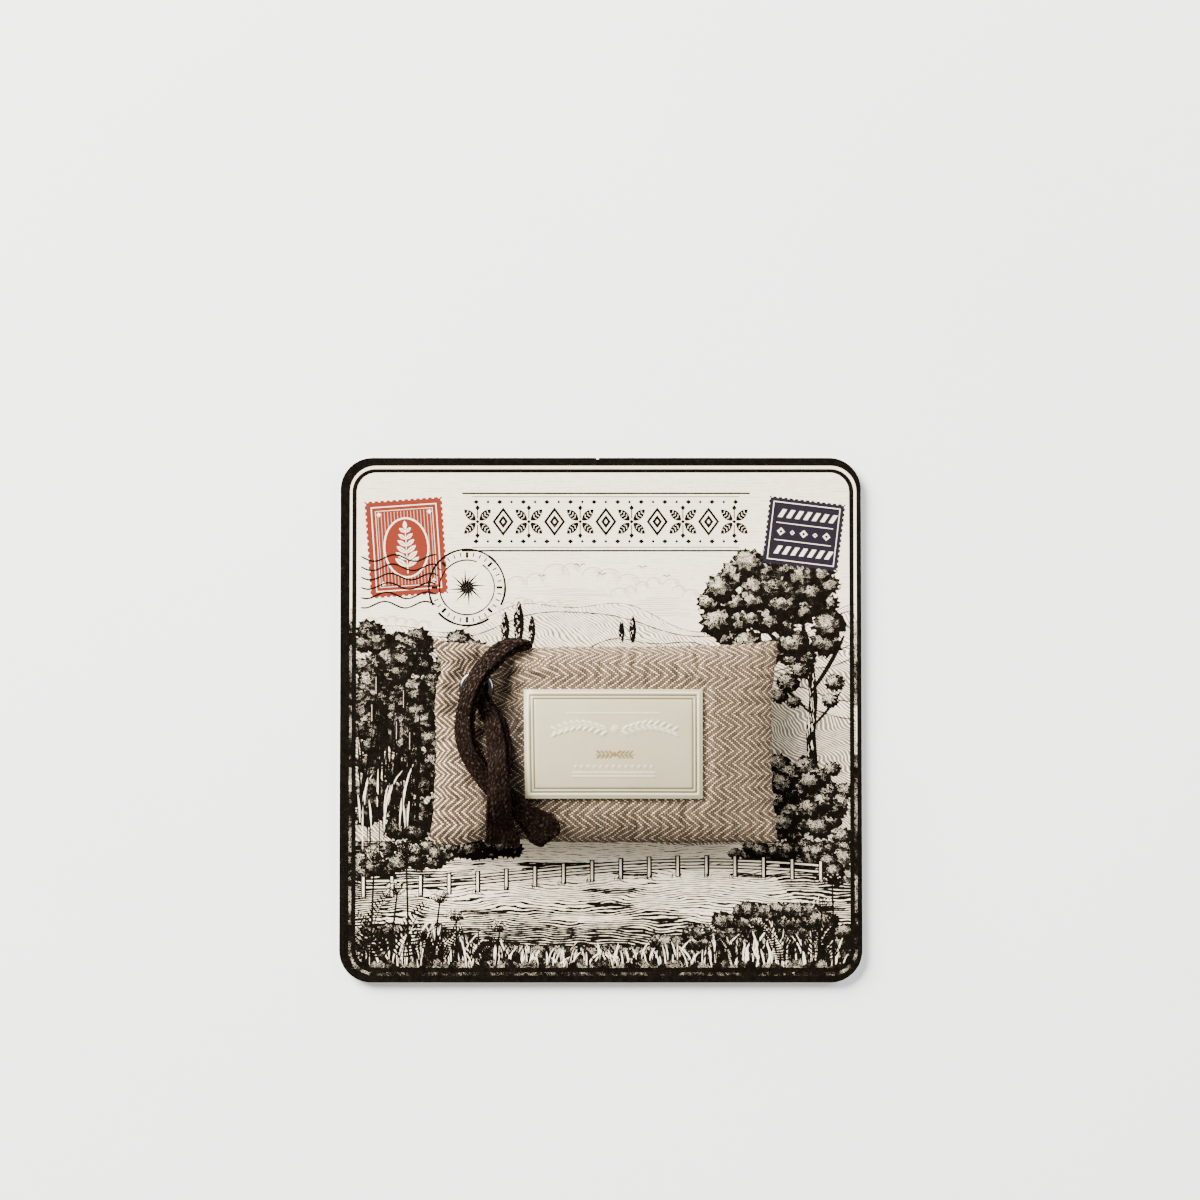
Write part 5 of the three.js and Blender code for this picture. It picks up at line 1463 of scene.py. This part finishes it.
class Tree:
    """Short words for building one material's node tree."""

    def __init__(self, name):
        self.mat = bpy.data.materials.new(name)
        self.mat.use_nodes = True
        self.t = self.mat.node_tree
        self.bsdf = next(n for n in self.t.nodes if n.type == "BSDF_PRINCIPLED")

    def put(self, socket, value):
        if isinstance(value, bpy.types.NodeSocket):
            self.t.links.new(value, socket)
        else:
            socket.default_value = value

    def m(self, op, a, b=0.0, c=None, clamp=False):
        n = self.t.nodes.new("ShaderNodeMath")
        n.operation = op
        n.use_clamp = clamp
        self.put(n.inputs[0], a)
        self.put(n.inputs[1], b)
        if c is not None:
            self.put(n.inputs[2], c)
        return n.outputs[0]

    def step(self, value, a, b, lo=0.0, hi=1.0, smooth_=True):
        n = self.t.nodes.new("ShaderNodeMapRange")
        n.interpolation_type = "SMOOTHSTEP" if smooth_ else "LINEAR"
        self.put(n.inputs[0], value)
        for k, v in enumerate((a, b, lo, hi)):
            self.put(n.inputs[1 + k], v)
        return n.outputs[0]

    def mix(self, f, a, b, blend="MIX"):
        n = self.t.nodes.new("ShaderNodeMix")
        n.data_type = "RGBA"
        n.blend_type = blend
        self.put(n.inputs[0], f)
        self.put(n.inputs[6], a)
        self.put(n.inputs[7], b)
        return n.outputs[2]

    def blend(self, f, a, b):
        n = self.t.nodes.new("ShaderNodeMix")
        n.data_type = "FLOAT"
        self.put(n.inputs[0], f)
        self.put(n.inputs[2], a)
        self.put(n.inputs[3], b)
        return n.outputs[0]

    def attribute(self, name, part="Vector"):
        n = self.t.nodes.new("ShaderNodeAttribute")
        n.attribute_name = name
        return n.outputs[part]

    def object_mm(self):
        c = self.t.nodes.new("ShaderNodeTexCoord")
        return self.scaled(c.outputs["Object"], (1000, 1000, 1000))

    def scaled(self, vector, by):
        n = self.t.nodes.new("ShaderNodeVectorMath")
        n.operation = "MULTIPLY"
        self.put(n.inputs[0], vector)
        n.inputs[1].default_value = by
        return n.outputs[0]

    def xyz(self, vector):
        n = self.t.nodes.new("ShaderNodeSeparateXYZ")
        self.put(n.inputs[0], vector)
        return n.outputs[0], n.outputs[1], n.outputs[2]

    def vec(self, x, y, z=0.0):
        n = self.t.nodes.new("ShaderNodeCombineXYZ")
        for k, v in enumerate((x, y, z)):
            self.put(n.inputs[k], v)
        return n.outputs[0]

    def noise(self, vector, scale, detail=3.0, rough=0.5, out=0, distortion=0.0):
        n = self.t.nodes.new("ShaderNodeTexNoise")
        self.put(n.inputs["Vector"], vector)
        n.inputs["Scale"].default_value = scale
        n.inputs["Detail"].default_value = detail
        n.inputs["Roughness"].default_value = rough
        n.inputs["Distortion"].default_value = distortion
        return n.outputs[out]

    def cells(self, vector, scale, feature="F1", randomness=1.0, out="Distance"):
        n = self.t.nodes.new("ShaderNodeTexVoronoi")
        n.feature = feature
        self.put(n.inputs["Vector"], vector)
        n.inputs["Scale"].default_value = scale
        n.inputs["Randomness"].default_value = randomness
        return n.outputs[out]

    def random(self, *values):
        n = self.t.nodes.new("ShaderNodeTexWhiteNoise")
        n.noise_dimensions = "3D"
        v = list(values) + [0.0] * (3 - len(values))
        self.put(n.inputs["Vector"], self.vec(*v))
        return n.outputs["Value"]

    def bump(self, height, distance_mm, strength=1.0, normal=None):
        n = self.t.nodes.new("ShaderNodeBump")
        n.inputs["Distance"].default_value = distance_mm * MM
        n.inputs["Strength"].default_value = strength
        self.put(n.inputs["Height"], height)
        if normal is not None:
            self.put(n.inputs["Normal"], normal)
        return n.outputs[0]

    def out(self, **values):
        for key, value in values.items():
            self.put(self.bsdf.inputs[key.replace("_", " ")], value)
        return self.mat


def paint(obj, mat):
    if len(obj.material_slots):
        for s in obj.material_slots:
            s.material = mat
    else:
        obj.data.materials.append(mat)


def cloth_material():
    T = Tree("herringbone_twill")
    raw = T.attribute("flat")
    x, y, side = T.xyz(raw)
    wob = T.noise(raw, 0.16, 2.0, 0.5, 1)
    wx, wy, _ = T.xyz(wob)
    fine = T.noise(raw, 1.1, 2.0, 0.5, 1)
    vx, vy, _ = T.xyz(fine)
    x = T.m("ADD", x, T.m("MULTIPLY", T.m("SUBTRACT", wx, 0.5), 1.3))
    y = T.m("ADD", y, T.m("MULTIPLY", T.m("SUBTRACT", wy, 0.5), 1.0))
    x = T.m("ADD", x, T.m("MULTIPLY", T.m("SUBTRACT", vx, 0.5), 0.22))
    y = T.m("ADD", y, T.m("MULTIPLY", T.m("SUBTRACT", vy, 0.5), 0.16))
    y = T.m("ADD", y, 2.9)
    WARP, PICK = 0.5875, 0.45
    gx, gy = T.m("DIVIDE", x, WARP), T.m("DIVIDE", y, PICK)
    i, j = T.m("FLOOR", gx), T.m("FLOOR", gy)
    fx, fy = T.m("FRACT", gx), T.m("FRACT", gy)
    zig = T.m("PINGPONG", j, 8.0)
    k = T.m("FLOORED_MODULO", T.m("ADD", i, zig), 4.0)
    weft = T.m("LESS_THAN", k, 1.5)
    rising = T.m("LESS_THAN", T.m("FLOORED_MODULO", j, 16.0), 7.5)
    lx = T.m("SUBTRACT", T.m("MULTIPLY", fx, 2.0), 1.0)
    ly = T.m("SUBTRACT", T.m("MULTIPLY", fy, 2.0), 1.0)
    qw = T.m("MULTIPLY", T.m("ADD", k, fx), 0.5)
    hw = T.m("MULTIPLY", T.m("POWER", T.m("SINE", T.m("MULTIPLY", qw, math.pi)), 1.0),
             T.m("SQRT", T.m("MAXIMUM", T.m("SUBTRACT", 1.0, T.m("MULTIPLY", ly, ly)), 0.0)))
    kk = T.blend(rising, T.m("SUBTRACT", 3.0, k), T.m("SUBTRACT", k, 2.0))
    qv = T.m("MULTIPLY", T.m("ADD", kk, fy), 0.5)
    hv = T.m("MULTIPLY", T.m("POWER", T.m("ABSOLUTE", T.m("SINE", T.m("MULTIPLY", qv, math.pi))), 0.5),
             T.m("SQRT", T.m("MAXIMUM", T.m("SUBTRACT", 1.0, T.m("MULTIPLY", lx, lx)), 0.0)))
    height = T.blend(weft, T.m("MULTIPLY", hv, 0.8), hw)
    # yarns differ, along and across
    r1 = T.random(j, T.m("FLOOR", T.m("DIVIDE", x, 7.0)), 1.0)
    r2 = T.random(i, T.m("FLOOR", T.m("DIVIDE", y, 5.0)), 2.0)
    r3 = T.random(i, j, 3.0)
    slub = T.noise(T.vec(T.m("MULTIPLY", x, 0.25), T.m("MULTIPLY", y, 2.4)), 1.0, 2.0)
    mottle = T.noise(raw, 0.09, 3.0, 0.6)
    cream = T.mix(r1, lin(224, 193, 158), lin(245, 215, 180))
    tan = T.mix(r2, lin(89, 74, 57), lin(109, 92, 74))
    tight = T.step(x, -44.0, -34.0)  # the weave opens to the left of the lace
    spot = T.m("MULTIPLY", weft, T.step(T.m("SUBTRACT", hw, T.m("MULTIPLY", tight, 0.15)), 0.47, 0.65))
    dull = T.blend(tight, 0.61, 1.0)
    tan = T.mix(1.0, tan, T.vec(dull, dull, dull), "MULTIPLY")
    base = T.mix(spot, tan, cream)
    base = T.mix(T.m("MULTIPLY", r3, 0.16), base, lin(112, 90, 64))
    fibre = T.noise(T.vec(T.m("MULTIPLY", x, 9.0), T.m("MULTIPLY", y, 9.0)), 1.0, 3.0, 0.7)
    shade = T.m("MULTIPLY", T.step(height, 0.0, 0.80, 0.34, 1.06), T.step(fibre, 0.25, 0.75, 0.9, 1.08))
    shade = T.m("MULTIPLY", shade, T.step(mottle, 0.3, 0.7, 0.94, 1.05))
    shade = T.m("MULTIPLY", shade, T.step(slub, 0.3, 0.7, 0.95, 1.04))
    pair = T.random(T.m("FLOOR", T.m("DIVIDE", T.m("ADD", i, zig), 2.0)), j, 7.0)
    shade = T.m("MULTIPLY", shade, T.step(pair, 0.0, 1.0, 0.70, 1.14, False))
    # painted shade: the colour is darkened where the pillow's 'drawn' attribute is set
    n = T.t.nodes.new("ShaderNodeAttribute")
    n.attribute_name = "drawn"
    shade = T.m("MULTIPLY", shade, T.step(n.outputs["Fac"], 0.0, 1.0, 1.0, 0.18, False))
    colour = T.mix(1.0, base, T.vec(shade, shade, shade), "MULTIPLY")
    h = T.m("ADD", height, T.m("MULTIPLY", fibre, 0.18))
    T.out(Base_Color=colour, Normal=T.bump(h, 0.13, 0.85), Roughness=T.step(fibre, 0.2, 0.8, 0.78, 0.95))
    T.bsdf.inputs["Sheen Weight"].default_value = 0.03
    T.bsdf.inputs["Sheen Roughness"].default_value = 0.5
    T.bsdf.inputs["Specular IOR Level"].default_value = 0.10
    return T.mat


def lace_material(name="waxed_braid"):
    T = Tree(name)
    s, u, ridge = T.xyz(T.attribute("braid"))
    o = T.object_mm()
    col = T.m("FLOOR", u)
    yarn = T.random(col, T.m("FLOOR", T.m("DIVIDE", s, 1.55)), 5.0)
    strand = T.random(col, 9.0, 1.0)
    cx = T.m("SUBTRACT", T.m("FRACT", u), 0.5)
    lean = T.m("SUBTRACT", T.m("MULTIPLY", T.m("FLOORED_MODULO", col, 2.0), 2.0), 1.0)
    across = T.m("ADD", T.m("MULTIPLY", cx, 1.0), T.m("MULTIPLY", T.m("MULTIPLY", s, lean), 0.5))
    hair = T.noise(T.vec(T.m("MULTIPLY", across, 9.0), T.m("MULTIPLY", s, 1.2), col), 1.0, 3.0, 0.65)
    fleck_and_sheen = T.noise(T.vec(T.m("MULTIPLY", u, 3.0), T.m("MULTIPLY", s, 0.95)), 1.0, 3.0, 0.65)
    wax = T.noise(o, 0.35, 3.0, 0.55)
    base = T.mix(yarn, lin(13, 7, 4), lin(24, 14, 9))
    base = T.mix(T.m("MULTIPLY", strand, 0.4), base, lin(17, 9, 7))
    _, oy, _ = T.xyz(o)
    upper_part = T.step(oy, -10.0, 8.0)  # the upper part carries stronger light flecks, partly painted wax-sheen highlight, and a darker tone than the lower part
    # light flecks: lighter yarn flecks and painted wax-sheen highlight
    base = T.mix(T.m("MULTIPLY", T.step(fleck_and_sheen, 0.53, 0.68), T.blend(upper_part, 0.32, 0.86)), base, lin(104, 86, 75))
    shade = T.m("MULTIPLY", T.step(ridge, 0.05, 0.95, 0.22, 1.25), T.step(hair, 0.25, 0.75, 0.78, 1.16))
    colour = T.mix(1.0, base, T.vec(shade, shade, shade), "MULTIPLY")
    tone_by_height = T.blend(upper_part, 0.72, 0.62)
    colour = T.mix(1.0, colour, T.vec(tone_by_height, tone_by_height, tone_by_height), "MULTIPLY")
    rough = T.m("ADD", T.step(wax, 0.35, 0.65, 0.62, 0.84), T.m("MULTIPLY", T.m("SUBTRACT", hair, 0.5), 0.2))
    T.out(Base_Color=colour, Roughness=rough, Normal=T.bump(hair, 0.09, 0.8))
    T.bsdf.inputs["Specular IOR Level"].default_value = 0.015
    return T.mat


def label_material():
    T = Tree("embossed_satin")
    rise, gilt, inset_ = T.xyz(T.attribute("relief"))
    o = T.object_mm()
    ox, oy, _ = T.xyz(o)
    grain = T.noise(T.vec(T.m("MULTIPLY", ox, 1.4), T.m("MULTIPLY", oy, 7.0)), 1.0, 4.0, 0.6)
    pearl = T.noise(o, 0.08, 2.0, 0.5)
    tooth = T.noise(o, 5.0, 3.0, 0.7)
    base = T.mix(T.step(pearl, 0.35, 0.65), lin(166, 157, 122), lin(170, 162, 128))
    base = T.mix(T.step(grain, 0.3, 0.75, 0.0, 0.4), base, lin(150, 140, 106))
    base = T.mix(T.step(inset_, 0.55, 0.0, 0.0, 0.6), base, lin(160, 143, 104))
    # painted shade in the sunk lines and painted highlight on the raised lines of the emboss
    base = T.mix(T.step(rise, 0.0, -0.10, 0.0, 0.92), base, lin(96, 85, 56))
    base = T.mix(T.step(rise, 0.03, 0.14, 0.0, 0.74), base, lin(200, 192, 162))
    gold = T.mix(T.noise(o, 1.8, 2.0), lin(124, 106, 62), lin(142, 123, 78))
    base = T.mix(gilt, base, gold)
    rough = T.blend(gilt, T.step(grain, 0.3, 0.7, 0.36, 0.5), 0.42)
    h = T.m("ADD", T.m("MULTIPLY", grain, 0.6), T.m("MULTIPLY", tooth, 0.4))
    T.out(Base_Color=base, Roughness=rough, Normal=T.bump(h, 0.05, 0.8), Metallic=T.m("MULTIPLY", gilt, 0.3))
    T.bsdf.inputs["Specular IOR Level"].default_value = 0.5
    T.bsdf.inputs["Sheen Weight"].default_value = 0.05
    return T.mat


def metal_material():
    T = Tree("polished_nickel")
    o = T.object_mm()
    wear = T.noise(o, 0.9, 4.0, 0.6)
    lines = T.noise(T.scaled(o, (0.8, 0.8, 9.0)), 2.0, 3.0, 0.6)
    colour = T.mix(T.step(wear, 0.4, 0.7), lin(92, 91, 90), lin(66, 65, 64))
    T.out(Base_Color=colour, Roughness=T.step(wear, 0.3, 0.75, 0.12, 0.26), Normal=T.bump(lines, 0.01, 0.35))
    T.bsdf.inputs["Metallic"].default_value = 1.0
    return T.mat


def board_material():
    T = Tree("card_core")
    o = T.object_mm()
    layers = T.noise(T.scaled(o, (0.25, 0.25, 9.0)), 1.0, 3.0, 0.6)
    fibres_ = T.noise(T.scaled(o, (1.6, 1.6, 4.0)), 1.5, 4.0, 0.7)
    colour = T.mix(T.step(layers, 0.3, 0.7), lin(44, 39, 35), lin(74, 67, 60))
    colour = T.mix(T.step(fibres_, 0.58, 0.75, 0.0, 0.6), colour, lin(112, 103, 92))
    h = T.m("ADD", layers, fibres_)
    T.out(Base_Color=colour, Roughness=T.step(fibres_, 0.2, 0.8, 0.8, 0.98), Normal=T.bump(h, 0.06, 0.7))
    return T.mat


def liner_material():
    T = Tree("back_liner")
    o = T.object_mm()
    pulp = T.noise(o, 0.7, 5.0, 0.7)
    fleck = T.cells(o, 0.45)
    cloud = T.noise(o, 0.03, 3.0, 0.5)
    colour = T.mix(T.step(pulp, 0.3, 0.7), lin(214, 207, 194), lin(226, 220, 208))
    colour = T.mix(T.step(fleck, 0.07, 0.03, 0.0, 0.6), colour, lin(150, 136, 116))
    colour = T.mix(T.step(cloud, 0.4, 0.6, 0.0, 0.25), colour, lin(205, 198, 186))
    T.out(Base_Color=colour, Roughness=T.step(pulp, 0.3, 0.7, 0.78, 0.92), Normal=T.bump(pulp, 0.03, 0.6))
    return T.mat


def foam_material():
    T = Tree("foam_pad")
    o = T.object_mm()
    pores = T.cells(o, 2.6)
    small = T.cells(o, 6.0)
    tone = T.noise(o, 0.25, 3.0)
    colour = T.mix(T.step(tone, 0.35, 0.65), lin(236, 234, 226), lin(245, 243, 236))
    # painted shade in the pore hollows
    colour = T.mix(T.step(pores, 0.22, 0.05, 0.0, 0.35), colour, lin(190, 186, 174))
    h = T.m("ADD", T.m("MULTIPLY", pores, 1.0), T.m("MULTIPLY", small, 0.4))
    T.out(Base_Color=colour, Roughness=T.step(small, 0.0, 0.6, 0.75, 0.95), Normal=T.bump(h, 0.12, 0.8))
    return T.mat


def pouch_material():
    T = Tree("nonwoven_pouch")
    o = T.object_mm()
    web = T.noise(o, 1.3, 5.0, 0.75, 0, 1.5)
    points = T.cells(T.scaled(o, (1, 1, 0.01)), 1.1, "F1", 0.0)
    colour = T.mix(T.step(web, 0.35, 0.65), lin(238, 236, 230), lin(248, 247, 243))
    colour = T.mix(T.step(points, 0.26, 0.14, 0.0, 0.5), colour, lin(214, 211, 203))
    T.out(Base_Color=colour, Roughness=T.step(web, 0.3, 0.7, 0.8, 0.95), Normal=T.bump(web, 0.08, 0.7))
    return T.mat


def fill_material():
    T = Tree("scented_granules")
    o = T.object_mm()
    grain = T.cells(o, 0.75, "SMOOTH_F1")
    tint = T.cells(o, 0.75, out="Color")
    tx, _, _ = T.xyz(tint)
    colour = T.mix(tx, lin(196, 174, 132), lin(228, 210, 174))
    # painted shade in the gaps between the granules
    colour = T.mix(T.step(grain, 0.45, 0.75, 0.0, 0.8), colour, lin(120, 98, 66))
    T.out(Base_Color=colour, Roughness=T.step(grain, 0.1, 0.7, 0.6, 0.9), Normal=T.bump(T.m("SUBTRACT", 1.0, grain), 0.5, 0.9))
    return T.mat


def glue_material():
    T = Tree("adhesive_film")
    o = T.object_mm()
    n = T.noise(o, 0.6, 3.0)
    colour = T.mix(T.step(n, 0.35, 0.65), lin(224, 216, 192), lin(236, 230, 210))
    T.out(Base_Color=colour, Roughness=T.step(n, 0.3, 0.7, 0.35, 0.55), Normal=T.bump(n, 0.02, 0.5))
    return T.mat


def print_material():
    """Ink amounts are held per face: black, rust red, navy. The sky carries faint engraved lines."""
    T = Tree("printed_laminate")
    o = T.object_mm()
    ox, oy, _ = T.xyz(o)
    black, red, navy = T.xyz(T.attribute("ink"))
    pulp = T.noise(o, 0.6, 4.0, 0.6)
    dots = T.noise(o, 6.5, 2.0, 0.6)
    cloud = T.noise(o, 0.045, 3.0, 0.5)
    paper = T.mix(T.step(pulp, 0.35, 0.65), lin(238, 221, 191), lin(243, 228, 200))
    paper = T.mix(T.step(cloud, 0.35, 0.65, 0.0, 0.3), paper, lin(230, 218, 196))
    wave = T.noise(T.vec(T.m("MULTIPLY", ox, 0.06), T.m("MULTIPLY", oy, 0.15)), 1.0, 2.0)
    line_ = T.m("SINE", T.m("MULTIPLY", T.m("ADD", oy, T.m("MULTIPLY", wave, 3.0)), 2 * math.pi / 0.86))
    broken = T.noise(T.vec(T.m("MULTIPLY", ox, 0.22), T.m("MULTIPLY", oy, 1.3)), 1.0, 3.0, 0.6)
    sky = T.m("MULTIPLY", T.step(line_, 0.2, 0.95), T.step(broken, 0.40, 0.62))
    inside_x = T.step(T.m("ABSOLUTE", T.m("SUBTRACT", ox, 0.7)), 72.5, 71.9)
    inside_y = T.m("MULTIPLY", T.step(oy, -36.0, -30.0), T.step(oy, 72.8, 72.2))
    sky = T.m("MULTIPLY", sky, T.m("MULTIPLY", inside_x, inside_y))
    leaves, rows, slope = T.xyz(T.attribute("hatch"))
    curl = T.noise(o, 0.95, 3.0, 0.62, 0, 0.7)
    curls = T.m("MULTIPLY", T.m("PINGPONG", T.m("MULTIPLY", curl, 9.0), 0.5), 2.0)
    patchy = T.noise(o, 0.42, 3.0, 0.6)
    leaf_tone = T.m("ADD", T.m("MULTIPLY", leaves, 1.22), T.m("MULTIPLY", T.m("SUBTRACT", patchy, 0.5), 0.9))
    leaf_ink = T.m("MULTIPLY", T.step(T.m("SUBTRACT", leaf_tone, curls), -0.10, 0.10), T.m("GREATER_THAN", leaves, 0.02))
    swell = T.noise(T.vec(T.m("MULTIPLY", ox, 0.05), T.m("MULTIPLY", oy, 0.12)), 1.0, 2.0)
    furrow = T.m("MULTIPLY", T.m("PINGPONG", T.m("DIVIDE", T.m("ADD", oy, T.m("MULTIPLY", swell, 6.0)), 0.72), 0.5), 2.0)
    gap = T.noise(T.vec(T.m("MULTIPLY", ox, 0.30), T.m("MULTIPLY", oy, 1.7)), 1.0, 3.0, 0.6)
    row_tone = T.m("ADD", rows, T.m("MULTIPLY", T.m("SUBTRACT", gap, 0.45), 1.6))
    row_ink = T.m("MULTIPLY", T.step(T.m("SUBTRACT", row_tone, furrow), -0.10, 0.10), T.m("GREATER_THAN", rows, 0.02))
    lean_ = T.m("ADD", T.m("MULTIPLY", ox, 0.62), T.m("ADD", T.m("MULTIPLY", oy, 0.78), T.m("MULTIPLY", swell, 9.0)))
    stripe = T.m("MULTIPLY", T.m("PINGPONG", T.m("DIVIDE", lean_, 0.80), 0.5), 2.0)
    gap2 = T.noise(T.vec(T.m("MULTIPLY", ox, 0.5), T.m("MULTIPLY", oy, 0.5)), 1.0, 4.0, 0.65)
    slope_tone = T.m("ADD", slope, T.m("MULTIPLY", T.m("SUBTRACT", gap2, 0.5), 1.0))
    slope_ink = T.m("MULTIPLY", T.step(T.m("SUBTRACT", slope_tone, stripe), -0.10, 0.10), T.m("GREATER_THAN", slope, 0.02))
    etched = T.m("MAXIMUM", leaf_ink, T.m("MAXIMUM", row_ink, T.m("MULTIPLY", slope_ink, 0.8)))
    black = T.m("MAXIMUM", black, etched)
    plain = T.m("LESS_THAN", T.m("ADD", leaves, T.m("ADD", rows, slope)), 0.02)
    colour = T.mix(T.m("MULTIPLY", T.m("MULTIPLY", sky, plain), 0.34), paper, lin(140, 135, 130))
    rust = T.mix(T.step(dots, 0.35, 0.7), lin(104, 39, 27), lin(121, 47, 33))
    blue = T.mix(T.step(dots, 0.35, 0.7), lin(24, 20, 27), lin(36, 31, 39))
    dark = T.mix(T.step(pulp, 0.3, 0.7), lin(6, 4, 2), lin(14, 10, 6))
    colour = T.mix(red, colour, rust)
    colour = T.mix(navy, colour, blue)
    colour = T.mix(T.m("MULTIPLY", black, T.step(dots, 0.66, 0.86, 1.0, 0.72)), colour, dark)
    rough = T.m("ADD", T.step(pulp, 0.3, 0.7, 0.48, 0.56), T.m("MULTIPLY", black, -0.03))
    T.out(Base_Color=colour, Roughness=rough, Normal=T.bump(pulp, 0.012, 0.5))
    T.bsdf.inputs["Specular IOR Level"].default_value = 0.02
    return T.mat


cloth, braid, nickel = cloth_material(), lace_material(), metal_material()
paint(pillow, cloth)
for piece in (strand_upper, strand_lower, bight, frayed):
    paint(piece, braid)
paint(label, label_material())
for piece in (eyelet, washer):
    paint(piece, nickel)
paint(nodes["card_board"], board_material())
paint(nodes["card_back_liner"], liner_material())
foam = foam_material()
for n in ("foam_pad_left", "foam_pad_right"):
    paint(nodes[n], foam)
pouch = pouch_material()
for n in ("inner_pouch_front", "inner_pouch_back"):
    paint(nodes[n], pouch)
paint(nodes["scented_fill"], fill_material())
paint(card_print, print_material())

# ---------------------------------------------------------------- floor and light

floor_mesh = bpy.data.meshes.new("floor")
R = 6.0
floor_mesh.from_pydata([(-R, -R, -0.0002), (R, -R, -0.0002), (R, R, -0.0002), (-R, R, -0.0002)], [], [(0, 1, 2, 3)])
floor = bpy.data.objects.new("floor", floor_mesh)
bpy.context.scene.collection.objects.link(floor)
F = Tree("pale_floor")
n_ = F.noise(F.object_mm(), 0.01, 3.0, 0.5)
F.out(Base_Color=F.mix(F.step(n_, 0.3, 0.7), lin(248, 248, 247), lin(250, 250, 249)), Roughness=0.9)
F.bsdf.inputs["Specular IOR Level"].default_value = 0.1
paint(floor, F.mat)

world = bpy.data.worlds.new("studio")
bpy.context.scene.world = world
world.use_nodes = True
background = world.node_tree.nodes["Background"]
background.inputs[0].default_value = (1.0, 1.0, 1.0, 1)
background.inputs[1].default_value = 0.33


def softbox(name, place, aim, size, power, colour=(1, 1, 1)):
    lamp = bpy.data.lights.new(name, "AREA")
    lamp.shape = "RECTANGLE"
    lamp.size, lamp.size_y = size
    lamp.energy = power
    lamp.color = colour
    obj = bpy.data.objects.new(name, lamp)
    bpy.context.scene.collection.objects.link(obj)
    obj.location = place
    obj.rotation_euler = (Vector(aim) - Vector(place)).to_track_quat("-Z", "Y").to_euler()
    return obj


softbox("key", (-1.55, 1.45, 1.15), (0, 0, 0), (1.6, 1.6), 440.0, (1.0, 0.985, 0.96))
softbox("fill", (2.0, 0.9, 1.6), (0, 0, 0), (1.3, 1.3), 62.0, (0.98, 0.99, 1.0))
softbox("front", (-0.3, -2.2, 1.5), (0, 0, 0), (1.4, 0.9), 30.0, (0.96, 0.98, 1.0))
